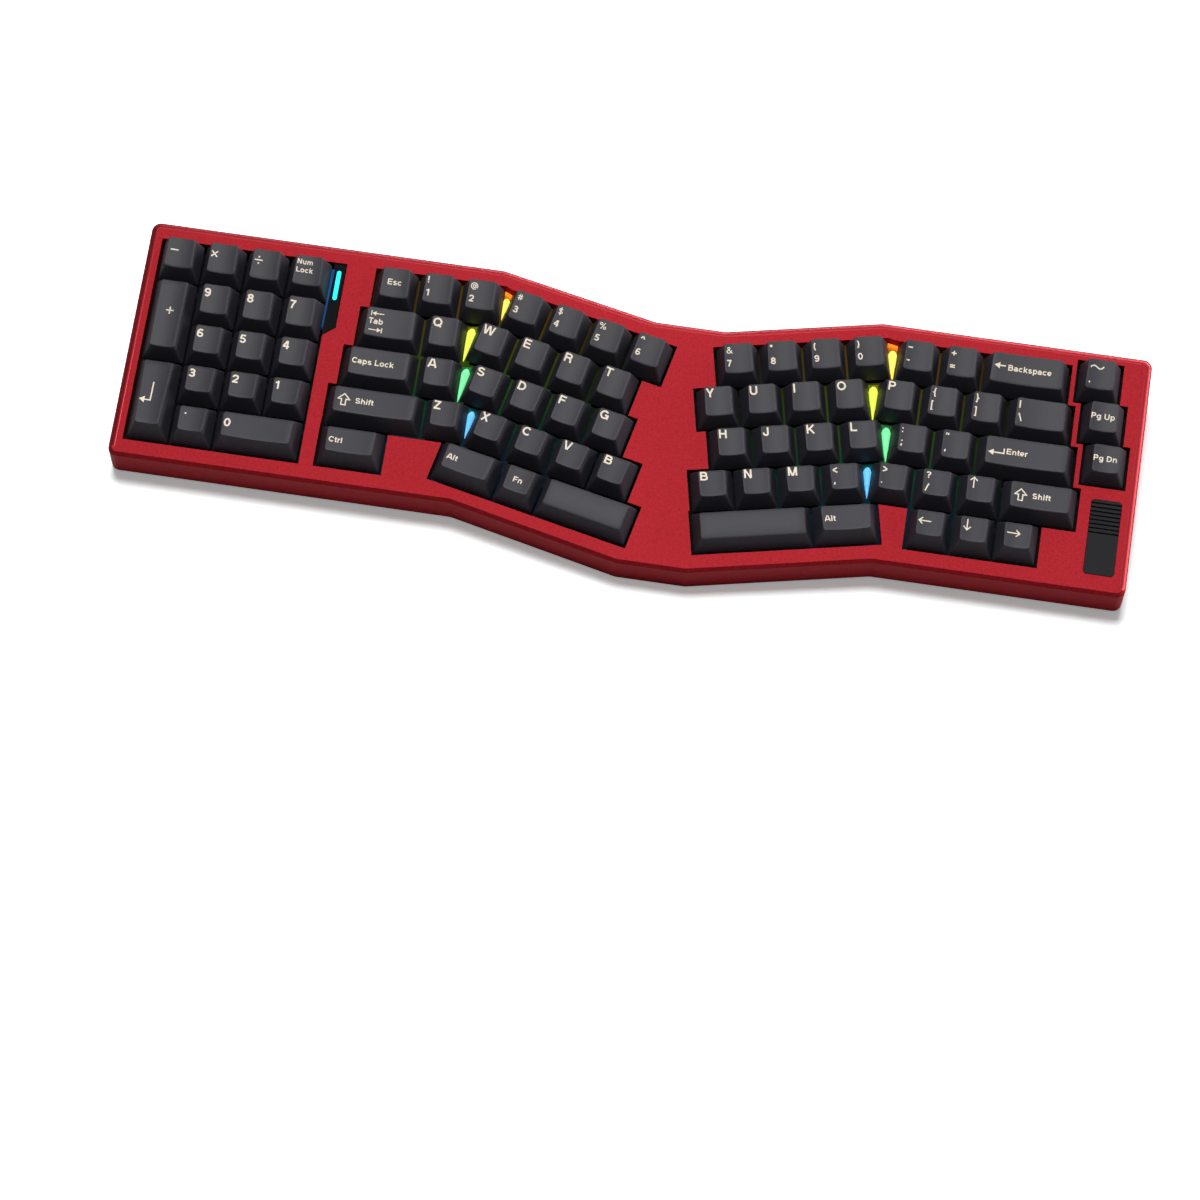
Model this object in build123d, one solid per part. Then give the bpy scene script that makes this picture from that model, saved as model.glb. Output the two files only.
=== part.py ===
from build123d import *
import math
import os
from dataclasses import dataclass

# Ergonomic mechanical keyboard: numpad on the left, two straight outer key blocks, and two
# inner blocks that turn towards each other, in a metal case with a wavy front and rear edge.
# Everything is laid out in the deck's frame: X along the straight key rows, Y to the rear,
# Z out of the deck. Z = 0 is the deck's face, and the origin is the rear left corner of the
# numpad's key grid. At the end the whole keyboard is tilted by its typing angle and set down
# on the desk. Sizes are in millimetres, angles in degrees, key widths in units of the pitch.

# Key grid
PITCH = 19.05
CAP_GAP = 0.95
WINDOW_MARGIN = 0.74
TURN = 12.0
LEFT_PIVOT_COLUMN_COUNT = 8
RIGHT_PIVOT_COLUMN_COUNT = 17
LEFT_PIVOT_LIFT = -0.5
RIGHT_PIVOT_LIFT = 1.0
RIGHT_COLUMN_LIFT = 3.1

# Keycaps and key travel, and from the rear row to the front row each row's height at the middle
# of the top, its lean in degrees, and how far its rear, front and sides draw in
CAP_HEIGHTS = (9.1, 8.4, 8.1, 8.4, 8.4)
CAP_LEAN_ANGLES = (5.0, 2.5, -1.5, -5.0, -5.5)
CAP_REAR_INSETS = (1.1, 1.5, 2.0, 2.55, 2.75)
CAP_FRONT_INSETS = (3.5, 3.1, 3.0, 3.2, 3.4)
CAP_SIDE_INSETS = (2.75, 2.95, 3.1, 3.1, 3.15)
CAP_WALL = 1.4
CAP_TOP_THICKNESS = 2.2
CAP_CORNER = 1.3
DISH_DEPTH = 0.6
DISH_FACETS = 3
SPACE_CROWN_RADIUS = 42.0
SKIRT_HEIGHT = 1.1
TRAVEL = 4.0

# Case outline: margins around the key fields, and bends placed from the pivots
LEFT_MARGIN = 6.3
RIGHT_MARGIN = 6.1
REAR_MARGIN = 8.5
FRONT_MARGIN = 8.45
REAR_DIP = 14.3
FRONT_DROP = 16.7
REAR_BEND_SHIFTS = (-1.2, -4.05)
FRONT_BEND_SHIFTS = (-7.7, 5.55)
REAR_SADDLE_SHIFT = -1.675
REAR_SADDLE_LENGTH = 31.1
FRONT_SADDLE_SHIFT = -2.875
FRONT_SADDLE_LENGTH = 30.7
CORNER_RADIUS = 4.0
BEND_RADIUS = 10.0
LEAST_RADIUS = 0.8
DECK_CHAMFER = 1.5
DECK_THICKNESS = 6.0
SKIRT_WALL = 3.0
TYPING_ANGLE = 7.0
FIT = 0.25

# Underside
WEIGHT_THICKNESS = 2.5
WEIGHT_PROUD = 0.2
WEIGHT_EDGE_RADIUS = 1.2
RIM_WALL = 1.3
BLOCK_LENGTH = 35.0
ARM_WIDTH = 9.5
RECESS_CORNER = 4.0
BAR_THICKNESS = 1.2
BAR_FLANGE = 3.0
RIB_COUNT = 8
RIB_WIDTH = 1.5
RIB_PITCH = 2.9
RIB_HEIGHT = 1.2
RIB_MARGIN = 2.6
RIB_END_GAP = 0.6
FOOT_LEGS = (15.5, 15.0)
FOOT_CORNER = 1.8
FOOT_MARGIN = 4.2
FRONT_FOOT_THICKNESS = 4.0
REAR_FOOT_THICKNESS = 3.0
EMBLEM_HALF_LENGTHS = (30.0, 14.0)
EMBLEM_DEPTHS = (1.2, 6.5)
EMBLEM_THICKNESS = 0.8
EMBLEM_MARGIN = 13.5

# Inner stack
PLATE_THICKNESS = 1.5
PLATE_INSET = 4.0
BOARD_GAP = 3.5
BOARD_THICKNESS = 1.6
FOAM_GAP = 0.1
FOAM_THICKNESS = 1.1
FLOOR_GAP = 0.7
BAR_GAP = 0.2
GASKET_LENGTH = 18.0
GASKET_WIDTH = 3.0
GASKET_THICKNESS = 1.6
GASKET_TO_BOARD = 0.5
GASKET_FROM_END = 40.0
GASKET_FROM_BEND = 30.0

# Switches and stabilisers
HOUSING_BODY = 13.9
PLATE_HOLE = 14.0
HOUSING_FLANGE = 15.6
HOUSING_TOP = (10.6, 11.0)
HOUSING_RISE = 6.6
SLIDER = (7.0, 5.6)
SLIDER_SLACK = 0.2
SLIDER_GRIP = 5.6
SLIDER_END_GAP = 0.4
STABILISER_REACH = 11.94
STABILISED_UNIT_COUNT = 2
STABILISER_HOUSING = (6.8, 10.0)
STABILISER_RISE = 6.0
INSERT_WIDTH = 4.0
INSERT_SLACK = 0.2

# Deck fittings
BADGE_FROM_END = 12.6
BADGE_FROM_WINDOW = 5.5
BADGE_SIZE = (13.5, 35.0)
BADGE_RECESS = 1.4
BADGE_PROUD = 0.2
BADGE_CORNER = 1.2
BADGE_GROOVES = 8
BADGE_GROOVE_PITCH = 1.95
BADGE_GROOVE = 0.8
INDICATOR_WIDTH = 6.05
INDICATOR_STEPS = (-30.2, -34.5)
INDICATOR_COVER_THICKNESS = 3.0
INDICATOR_SUNK = 0.8
LIGHT_BAR_SIZE = (2.0, 14.2)
LIGHT_BAR_REAR = -2.6
LIGHT_BAR_INSET = 2.8
LIGHT_BAR_PROUD = 0.15
LIGHT_BAR_SUNK = 1.0
EDGE_STRIP_WIDTH = 0.5
GUIDE_TOP = -1.8
GUIDE_CLEARANCE = 0.4
GUIDE_END_GAP = 0.9
GUIDE_TIP = 0.6
GUIDE_BLOCK_DEPTH = 1.9
GUIDE_BLOCK_GAP = 0.3

# Connector
PORT_WALL = 2.5
PORT_BOARD = (18.0, 12.0)
PORT_DROP = 0.8
PORT_SHELL = (8.94, 3.2, 7.35)
PORT_SHELL_WALL = 0.3
PORT_BACK_WALL = 1.0
PORT_TONGUE = (6.7, 0.7)
PORT_TONGUE_SUNK = 2.0
PORT_SUNK = 0.8
PORT_SLOT_SLACK = 0.3

# Screws
POST_WIDTH = 4.0
SCREW_HEAD = (3.6, 1.4)
SCREW_SHANK = (2.0, 8.0)
SCREW_SLACK = 0.15
SCREW_SEAT = 4.0
SCREW_MARGIN = 6.3
SCREW_SPREAD = 6.0

@dataclass(frozen=True)
class CapProfile:
    """Side view of the caps of one row: height at the middle of the top, and how it leans."""

    height: float
    lean: float
    rear_inset: float
    front_inset: float
    side_inset: float


CAP_SIZES = (CAP_HEIGHTS, CAP_LEAN_ANGLES, CAP_REAR_INSETS, CAP_FRONT_INSETS, CAP_SIDE_INSETS)
PROFILES = tuple(CapProfile(*sizes) for sizes in zip(*CAP_SIZES))


@dataclass(frozen=True)
class Row:
    """One row of keys: rear edge at -line x PITCH of its frame, first key's left edge at start."""

    frame: str
    line: int
    start: float
    keys: tuple

    def end(self):
        """Right edge of the last key, in units."""
        return self.start + sum(width for _, width in self.keys)


@dataclass(frozen=True)
class Key:
    """One key: its node, the frame it lies in, its middle there, its size in units, its row."""

    node: str
    frame: str
    middle: tuple
    width: float
    depth: float
    line: int


# Each turned block's frame starts at its pivot, a whole number of columns from the left edge
LEFT_PIVOT = (LEFT_PIVOT_COLUMN_COUNT * PITCH, LEFT_PIVOT_LIFT)
RIGHT_PIVOT = (RIGHT_PIVOT_COLUMN_COUNT * PITCH, RIGHT_PIVOT_LIFT)
FRAMES = {
    "straight": Location((0, 0, 0)),
    "left": Location((LEFT_PIVOT[0], LEFT_PIVOT[1], 0), (0, 0, -TURN)),
    "right": Location((RIGHT_PIVOT[0], RIGHT_PIVOT[1], 0), (0, 0, TURN)),
    "column": Location((0, RIGHT_COLUMN_LIFT, 0)),
}


def run(node, count, width=1.0):
    """A run of equal keys that belong to one node."""
    return ((node, width),) * count


NUMPAD_ROWS = (
    Row("straight", 0, 0.0, run("key_numpad_minus", 1) + run("keys_numpad_operators", 3)),
    Row("straight", 1, 1.0, run("keys_numpad_digits", 3)),
    Row("straight", 2, 1.0, run("keys_numpad_digits", 3)),
    Row("straight", 3, 1.0, run("keys_numpad_digits", 3)),
    Row("straight", 4, 1.0, run("key_numpad_point", 1) + run("key_numpad_zero", 1, 2.0)),
)
LEFT_ROWS = (
    Row("straight", 0, 5.04, run("key_escape", 1) + run("keys_1_to_6", 2)),
    Row("straight", 1, 4.83, run("key_tab", 1, 1.5) + run("keys_q_to_t", 1)),
    Row("straight", 2, 4.61, run("key_caps_lock", 1, 1.75) + run("keys_a_to_g", 1)),
    Row("straight", 3, 4.42, run("key_left_shift", 1, 2.25) + run("keys_z_to_b", 1)),
    Row("straight", 4, 4.41, run("key_left_control", 1, 1.5)),
)
LEFT_TURNED_ROWS = (
    Row("left", 0, 0.22, run("keys_1_to_6", 4)),
    Row("left", 1, -0.24, run("keys_q_to_t", 4)),
    Row("left", 2, 0.0, run("keys_a_to_g", 4)),
    Row("left", 3, 0.49, run("keys_z_to_b", 4)),
    Row(
        "left",
        4,
        0.08,
        run("key_left_alt", 1, 1.5) + run("key_function", 1) + run("key_left_space", 1, 2.25),
    ),
)
RIGHT_TURNED_ROWS = (
    Row("right", 0, -4.05, run("keys_7_to_equals", 4)),
    Row("right", 1, -4.58, run("keys_y_to_bracket", 4)),
    Row("right", 2, -4.36, run("keys_h_to_quote", 4)),
    Row("right", 3, -4.86, run("keys_n_to_slash", 4)),
    Row("right", 4, -4.89, run("key_right_space", 1, 2.75) + run("key_right_alt", 1, 1.5)),
)
RIGHT_ROWS = (
    Row("straight", 0, 17.2, run("keys_7_to_equals", 2) + run("key_backspace", 1, 2.0)),
    Row("straight", 1, 16.88, run("keys_y_to_bracket", 3) + run("key_backslash", 1, 1.5)),
    Row("straight", 2, 17.3, run("keys_h_to_quote", 2) + run("key_enter", 1, 2.25)),
    Row(
        "straight",
        3,
        16.985,
        run("keys_n_to_slash", 2) + run("key_arrow_up", 1) + run("key_right_shift", 1, 1.75),
    ),
    Row(
        "straight",
        4,
        17.96,
        run("key_arrow_left", 1) + run("key_arrow_down", 1) + run("key_arrow_right", 1),
    ),
)
COLUMN_ROWS = (
    Row("column", 0, 21.38, run("key_tilde", 1)),
    Row("column", 1, 21.57, run("key_page_up", 1)),
    Row("column", 2, 21.735, run("key_page_down", 1)),
)
TALL_ROWS = (
    Row("straight", 1, 0.0, run("key_numpad_plus", 1)),
    Row("straight", 3, 0.0, run("key_numpad_enter", 1)),
)
SPACE_KEYS = ("key_left_space", "key_right_space")
NUMPAD_COLUMN_COUNT = 4
LINE_COUNT = 5
GUIDED_LINE_COUNT = 4
COLUMN_LINE_COUNT = 3


def bend_places(shifts, saddle_shift, saddle_length):
    """X of an edge's four bends: one beside each pivot, and the saddle's two ends between."""
    middle = (LEFT_PIVOT[0] + RIGHT_PIVOT[0]) / 2 + saddle_shift
    half = saddle_length / 2
    return (LEFT_PIVOT[0] + shifts[0], middle - half, middle + half, RIGHT_PIVOT[0] + shifts[1])


# Outline that follows from the sizes above
CASE_LEFT = -LEFT_MARGIN
CASE_RIGHT = max(row.end() for row in COLUMN_ROWS) * PITCH + RIGHT_MARGIN
CASE_REAR = REAR_MARGIN
CASE_REAR_DIP = CASE_REAR - REAR_DIP
CASE_FRONT = -LINE_COUNT * PITCH - FRONT_MARGIN
CASE_FRONT_LOW = CASE_FRONT - FRONT_DROP
REAR_BENDS = bend_places(REAR_BEND_SHIFTS, REAR_SADDLE_SHIFT, REAR_SADDLE_LENGTH)
FRONT_BENDS = bend_places(FRONT_BEND_SHIFTS, FRONT_SADDLE_SHIFT, FRONT_SADDLE_LENGTH)
RECESS_LENGTH = (RIB_COUNT - 1) * RIB_PITCH + RIB_WIDTH + 2 * RIB_MARGIN
BLOCK_FRONT = CASE_REAR - BLOCK_LENGTH
WEIGHT_REAR = BLOCK_FRONT - RECESS_LENGTH
PORT_X = (REAR_BENDS[1] + REAR_BENDS[2]) / 2
EMBLEM_X = (FRONT_BENDS[1] + FRONT_BENDS[2]) / 2
EMBLEM_REAR = CASE_FRONT_LOW + EMBLEM_MARGIN
BOARD_INSET = LEFT_MARGIN + (PITCH - HOUSING_FLANGE) / 2
GASKET_INSET = BOARD_INSET - GASKET_TO_BOARD - GASKET_WIDTH / 2
NUMPAD_RIGHT = NUMPAD_COLUMN_COUNT * PITCH
INDICATOR_RIGHT = NUMPAD_RIGHT + INDICATOR_WIDTH
COLUMN_FRONT = RIGHT_COLUMN_LIFT - COLUMN_LINE_COUNT * PITCH - WINDOW_MARGIN
BADGE_REAR = COLUMN_FRONT - BADGE_FROM_WINDOW
BADGE_CENTRE = (CASE_RIGHT - BADGE_FROM_END, BADGE_REAR - BADGE_SIZE[1] / 2)

# Heights that follow, from the deck down to the floor under the foam
SKIRT_Z = -SKIRT_HEIGHT
PLATE_TOP = -DECK_THICKNESS - GASKET_THICKNESS
PLATE_BOTTOM = PLATE_TOP - PLATE_THICKNESS
BOARD_TOP = PLATE_BOTTOM - BOARD_GAP
BOARD_BOTTOM = BOARD_TOP - BOARD_THICKNESS
FOAM_BOTTOM = BOARD_BOTTOM - FOAM_GAP - FOAM_THICKNESS
HOUSING_TOP_Z = PLATE_TOP + HOUSING_RISE
SLIDER_BOTTOM = HOUSING_TOP_Z - SLIDER_GRIP
POCKET_FLOOR = SLIDER_BOTTOM - TRAVEL - SLIDER_END_GAP
WEIGHT_TOP = FOAM_BOTTOM - FLOOR_GAP
WEIGHT_BOTTOM = WEIGHT_TOP - WEIGHT_THICKNESS
SKIRT_BOTTOM = WEIGHT_BOTTOM + WEIGHT_PROUD
BAR_TOP = FOAM_BOTTOM - BAR_GAP
BLOCK_TOP = BAR_TOP - BAR_THICKNESS
PORT_Z = SKIRT_BOTTOM - PORT_DROP - PORT_SHELL[1] / 2
PORT_FLOOR = PORT_Z - PORT_SHELL[1] / 2 - BOARD_THICKNESS

# The desk lies square to UP, which leans back from the deck's normal by the typing angle
UP = (0, math.sin(math.radians(TYPING_ANGLE)), math.cos(math.radians(TYPING_ANGLE)))
FRONT_FOOT_MIDDLE = CASE_FRONT + FOOT_MARGIN + FOOT_LEGS[1] / 2
DESK_Z = WEIGHT_BOTTOM - FRONT_FOOT_THICKNESS
DESK = Plane(origin=(0, FRONT_FOOT_MIDDLE, DESK_Z), x_dir=(1, 0, 0), z_dir=UP)
BLOCK_BASE = DESK.offset(REAR_FOOT_THICKNESS)
FAR_BELOW = -60.0
FAR_ABOVE = 40.0
FAR = 1000.0


def keys_of(rows, depth=1):
    """The keys of some rows, one after another, each depth lines deep."""
    keys = []
    for row in rows:
        left = row.start
        for node, width in row.keys:
            middle = ((left + width / 2) * PITCH, -(row.line + depth / 2) * PITCH)
            keys.append(Key(node, row.frame, middle, width, depth, row.line + depth - 1))
            left += width
    return keys


KEYS = keys_of(TALL_ROWS, 2) + keys_of(
    NUMPAD_ROWS + LEFT_ROWS + LEFT_TURNED_ROWS + RIGHT_TURNED_ROWS + RIGHT_ROWS + COLUMN_ROWS
)


def place(key):
    """Where a key's middle lies in the deck's frame."""
    return FRAMES[key.frame] * Location((key.middle[0], key.middle[1], 0))


def prism(face, top, bottom):
    """A flat outline made solid between two heights."""
    return extrude(Pos(0, 0, bottom) * face, amount=top - bottom, dir=(0, 0, 1))


def box(size_x, size_y, top, bottom):
    """A block around the Z axis, between two heights."""
    return prism(Rectangle(size_x, size_y), top, bottom)


def frustum(base, top, height, shift=0.0):
    """A block that narrows from base to top, whose top lies shift further to the rear."""
    low_x = (base[0] - top[0]) / 2
    low_y = base[1] / 2 - shift - top[1] / 2
    wedge = Wedge(
        base[0],
        height,
        base[1],
        low_x,
        low_y,
        low_x + top[0],
        low_y + top[1],
        align=(Align.CENTER, Align.MIN, Align.CENTER),
    )
    return Rot(90, 0, 0) * wedge


def point_in(frame, x, y):
    """A point of a key block's frame, in the deck's frame."""
    moved = (FRAMES[frame] * Location((x, y, 0))).position
    return (moved.X, moved.Y)


def case_outline(inset=0.0, rounded=True):
    """The case seen from above, drawn in by inset, where it shows with rounded corners and bends."""
    rear = (CASE_REAR, CASE_REAR_DIP, CASE_REAR_DIP, CASE_REAR)
    front = (CASE_FRONT, CASE_FRONT_LOW, CASE_FRONT_LOW, CASE_FRONT)
    points = [(CASE_LEFT, CASE_FRONT)]
    points += zip(FRONT_BENDS, front)
    points += [(CASE_RIGHT, CASE_FRONT), (CASE_RIGHT, CASE_REAR)]
    points += reversed(list(zip(REAR_BENDS, rear)))
    points += [(CASE_LEFT, CASE_REAR)]
    outline = Polygon(*points, align=None)
    if inset:
        outline = offset(outline, amount=-inset, kind=Kind.INTERSECTION)
    if not rounded:
        return outline
    ends = [v for v in outline.vertices() if from_ends(v) < inset + LEAST_RADIUS]
    outline = fillet(ends, max(CORNER_RADIUS - inset, LEAST_RADIUS))
    bends = [v for v in outline.vertices() if from_ends(v) > inset + CORNER_RADIUS + 1]
    return fillet(bends, BEND_RADIUS)


def from_ends(vertex):
    """How far a point of the outline lies from the nearer end of the case."""
    return min(vertex.X - CASE_LEFT, CASE_RIGHT - vertex.X)


def band(front, rear):
    """Everything between two Y values, as a flat sheet."""
    return Pos((CASE_LEFT + CASE_RIGHT) / 2, (front + rear) / 2) * Rectangle(FAR, rear - front)


def row_window(row):
    """The opening that one row of keys needs."""
    left = row.start * PITCH - WINDOW_MARGIN
    right = row.end() * PITCH + WINDOW_MARGIN
    middle_y = -(row.line + 0.5) * PITCH
    size_y = PITCH + 2 * WINDOW_MARGIN
    sheet = Pos((left + right) / 2, middle_y) * Rectangle(right - left, size_y)
    return FRAMES[row.frame] * sheet


def split_corners(straight, turned, sideways, lengthways):
    """Corners of the wedge-shaped gap between a straight row and the turned row beside it.

    The sides lie sideways off the key cells, and the ends lengthways inside the row.
    """
    sign = 1 if turned.frame == "left" else -1
    edge = straight.end() if sign > 0 else straight.start
    turned_edge = turned.start if sign > 0 else turned.end()
    rear = -straight.line * PITCH - lengthways
    front = -(straight.line + 1) * PITCH + lengthways
    straight_x = edge * PITCH + sign * sideways
    turned_x = turned_edge * PITCH - sign * sideways
    return [
        (straight_x, rear),
        (straight_x, front),
        point_in(turned.frame, turned_x, front),
        point_in(turned.frame, turned_x, rear),
    ]


def key_window(straight_rows, turned_rows):
    """The opening of a straight block with the turned block beside it."""
    window = Sketch()
    for row in straight_rows + turned_rows:
        window += row_window(row)
    for straight, turned in list(zip(straight_rows, turned_rows))[:GUIDED_LINE_COUNT]:
        window += Polygon(*split_corners(straight, turned, 0.0, -WINDOW_MARGIN), align=None)
    return window


def numpad_window(margin):
    """The numpad's opening, with its extension for the indicator."""
    right = NUMPAD_RIGHT + margin
    bottom = -LINE_COUNT * PITCH - margin
    return Polygon(
        (-margin, margin),
        (-margin, bottom),
        (right, bottom),
        (right, INDICATOR_STEPS[1]),
        (INDICATOR_RIGHT, INDICATOR_STEPS[0]),
        (INDICATOR_RIGHT, margin),
        align=None,
    )


def column_window():
    """The opening of the three keys at the right end."""
    window = Sketch()
    for row in COLUMN_ROWS:
        window += row_window(row)
    return window


def badge_outline(slack):
    """The deck badge's outline with blunt corners, drawn in by slack."""
    face = Rectangle(BADGE_SIZE[0] - 2 * slack, BADGE_SIZE[1] - 2 * slack)
    return Pos(*BADGE_CENTRE) * chamfer(face.vertices(), BADGE_CORNER)


def screw_places():
    """Where the screws go: the rear corners, the front corners, and under the emblem."""
    left = CASE_LEFT + SCREW_MARGIN
    right = CASE_RIGHT - SCREW_MARGIN
    rear = CASE_REAR - SCREW_MARGIN
    front = CASE_FRONT + SCREW_MARGIN
    low = EMBLEM_REAR - EMBLEM_DEPTHS[1] / 2
    return {
        "rear": [(left, rear), (right, rear)],
        "front": [
            (left, front),
            (right, front),
            (EMBLEM_X - SCREW_SPREAD, low),
            (EMBLEM_X + SCREW_SPREAD, low),
        ],
    }


def six_sided(width, top, bottom):
    """A fastener's round form with six flat sides, to keep its facets few."""
    return prism(RegularPolygon(width / 2, 6), top, bottom)


def slot_outline(length, width):
    """A slot whose round ends are drawn with three flats each, to keep their facets few."""
    corner = width * (1 - math.sqrt(0.5))
    return chamfer(Rectangle(length, width).vertices(), corner)


def post_room(slack):
    """The room that the screw posts take, with slack around them."""
    width = POST_WIDTH + 2 * slack
    posts = []
    for spots in screw_places().values():
        for x, y in spots:
            posts.append(Pos(x, y) * box(width, width, 0, FAR_BELOW))
    return posts


def case_top():
    """Deck with its windows, the skirt round it, and the screw posts inside."""
    body = prism(case_outline(), 0, SKIRT_BOTTOM)
    rim = body.faces().sort_by(Axis.Z)[-1].edges()
    body = chamfer(rim, DECK_CHAMFER)
    body -= prism(case_outline(SKIRT_WALL, rounded=False), -DECK_THICKNESS, FAR_BELOW)
    rabbet = case_outline(RIM_WALL) & band(CASE_FRONT_LOW - FAR, WEIGHT_REAR)
    body -= prism(rabbet, WEIGHT_TOP, FAR_BELOW)
    post_faces = Sketch()
    for x, y in screw_places()["rear"] + screw_places()["front"]:
        post_faces += Pos(x, y) * Rectangle(POST_WIDTH, POST_WIDTH)
    reach = case_outline(SKIRT_WALL - FIT, rounded=False)
    rear_posts = post_faces & reach & band(WEIGHT_REAR, FAR)
    front_posts = post_faces & reach & band(-FAR, WEIGHT_REAR)
    body += prism(rear_posts, -DECK_THICKNESS, BLOCK_TOP)
    body += prism(front_posts, -DECK_THICKNESS, WEIGHT_TOP)
    body -= prism(numpad_window(WINDOW_MARGIN), FAR_ABOVE, -DECK_THICKNESS)
    body -= prism(key_window(LEFT_ROWS, LEFT_TURNED_ROWS), FAR_ABOVE, -DECK_THICKNESS)
    body -= prism(key_window(RIGHT_ROWS, RIGHT_TURNED_ROWS), FAR_ABOVE, -DECK_THICKNESS)
    body -= prism(column_window(), FAR_ABOVE, -DECK_THICKNESS)
    body -= prism(badge_outline(0), FAR_ABOVE, -BADGE_RECESS)
    for solid in screw_room(SCREW_SLACK):
        body -= solid
    return body


def case_bottom():
    """Rear block with its two side arms, flush with the skirt, and the connector's pocket."""
    flush = case_outline() & band(WEIGHT_REAR, FAR)
    inner = case_outline(SKIRT_WALL + FIT, rounded=False) & band(WEIGHT_REAR, FAR)
    body = prism(flush, SKIRT_BOTTOM, FAR_BELOW) + prism(inner, BLOCK_TOP, SKIRT_BOTTOM)
    body = split(body, bisect_by=BLOCK_BASE, keep=Keep.TOP)
    recess_width = CASE_RIGHT - CASE_LEFT - 2 * ARM_WIDTH
    recess = Rectangle(recess_width, 2 * RECESS_LENGTH)
    recess = fillet(recess.vertices(), RECESS_CORNER)
    middle_x = (CASE_LEFT + CASE_RIGHT) / 2
    body -= prism(Pos(middle_x, WEIGHT_REAR) * recess, 0, FAR_BELOW)
    for support in supports(rear=True):
        body += support
    pocket_length = CASE_REAR_DIP - PORT_WALL
    pocket = Pos(PORT_X, pocket_length - PORT_BOARD[1] / 2 - FIT) * box(
        PORT_BOARD[0] + 2 * FIT,
        PORT_BOARD[1] + 2 * FIT,
        0,
        PORT_FLOOR,
    )
    body -= pocket
    slot = slot_outline(
        PORT_SHELL[0] + 2 * PORT_SLOT_SLACK, PORT_SHELL[1] + 2 * PORT_SLOT_SLACK
    )
    body -= extrude(port_plane() * slot, amount=2 * PORT_WALL, both=True)
    for solid in screw_room(SCREW_SLACK):
        body -= solid
    return body


def port_plane():
    """The plane of the connector's mouth: X sideways, its normal to the rear."""
    return Plane(origin=(PORT_X, CASE_REAR_DIP, PORT_Z), x_dir=(1, 0, 0), z_dir=(0, 1, 0))


def connector_board():
    """Small board in the block's pocket that carries the receptacle."""
    rear = CASE_REAR_DIP - PORT_WALL - FIT
    board = box(PORT_BOARD[0], PORT_BOARD[1], PORT_FLOOR + BOARD_THICKNESS, PORT_FLOOR)
    return Pos(PORT_X, rear - PORT_BOARD[1] / 2) * board


def usb_c_receptacle():
    """Drawn metal shell of the receptacle with its tongue."""
    plane = port_plane()
    width, height, length = PORT_SHELL
    outer = slot_outline(width, height)
    inner = slot_outline(width - 2 * PORT_SHELL_WALL, height - 2 * PORT_SHELL_WALL)
    mouth = plane.offset(-PORT_SUNK)
    back_wall = plane.offset(PORT_BACK_WALL - length)
    shell = extrude(mouth * outer, amount=-(length - PORT_SUNK))
    shell -= extrude(back_wall * inner, amount=length)
    tongue_face = plane.offset(-length) * Rectangle(*PORT_TONGUE)
    tongue = extrude(tongue_face, amount=length - PORT_TONGUE_SUNK)
    return shell + tongue


def supports(rear):
    """Posts that carry the lower gaskets: on the block at the rear, on the weight in front."""
    top = PLATE_BOTTOM - GASKET_THICKNESS
    bottom = BLOCK_TOP if rear else WEIGHT_TOP
    posts = []
    for spot in gasket_places():
        if (spot.position.Y > WEIGHT_REAR) == rear:
            posts.append(spot * box(GASKET_LENGTH, GASKET_WIDTH, top, bottom))
    return posts


def gasket_places():
    """Middles of the gasket strips, a steady distance inside the straight outline runs."""
    left = CASE_LEFT + GASKET_FROM_END
    right = CASE_RIGHT - GASKET_FROM_END
    edges = (
        (REAR_BENDS, CASE_REAR - GASKET_INSET),
        (FRONT_BENDS, CASE_FRONT + GASKET_INSET),
    )
    spots = [Location((EMBLEM_X, CASE_FRONT_LOW + GASKET_INSET, 0))]
    for bends, y in edges:
        inner_left = bends[0] - GASKET_FROM_BEND
        inner_right = bends[3] + GASKET_FROM_BEND
        spots += [Location((x, y, 0)) for x in (left, inner_left, inner_right, right)]
    return spots


def gasket_strips():
    """Soft strips above and below the switch plate's edge."""
    upper = box(GASKET_LENGTH, GASKET_WIDTH, -DECK_THICKNESS, PLATE_TOP)
    lower = box(GASKET_LENGTH, GASKET_WIDTH, PLATE_BOTTOM, PLATE_BOTTOM - GASKET_THICKNESS)
    strips = []
    for spot in gasket_places():
        strips += [spot * upper, spot * lower]
    return strips


def bottom_weight():
    """Flat plate over the front zone, with a rounded rear edge and the gasket posts."""
    face = case_outline(RIM_WALL + FIT) & band(-FAR, WEIGHT_REAR - FIT)
    body = prism(face, WEIGHT_TOP, WEIGHT_BOTTOM)
    low_edges = body.faces().sort_by(Axis.Z)[0].edges()
    body = fillet(low_edges.sort_by(Axis.Y)[-1], WEIGHT_EDGE_RADIUS)
    for support in supports(rear=False):
        body += support
    for solid in screw_room(SCREW_SLACK):
        body -= solid
    return body


def ribbed_bar():
    """Long bar with ribs that fills the recess, held from above by its flange."""
    middle_x = (CASE_LEFT + CASE_RIGHT) / 2
    recess_width = CASE_RIGHT - CASE_LEFT - 2 * ARM_WIDTH
    flange_length = RECESS_LENGTH + BAR_FLANGE
    flange = Pos(middle_x, WEIGHT_REAR + flange_length / 2) * box(
        recess_width + 2 * BAR_FLANGE, flange_length, BAR_TOP, BLOCK_TOP
    )
    body = flange
    first = WEIGHT_REAR + RIB_MARGIN + RIB_WIDTH / 2
    for i in range(RIB_COUNT):
        rib = box(recess_width - 2 * RIB_END_GAP, RIB_WIDTH, BLOCK_TOP, BLOCK_TOP - RIB_HEIGHT)
        body += Pos(middle_x, first + i * RIB_PITCH) * rib
    return body


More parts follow.
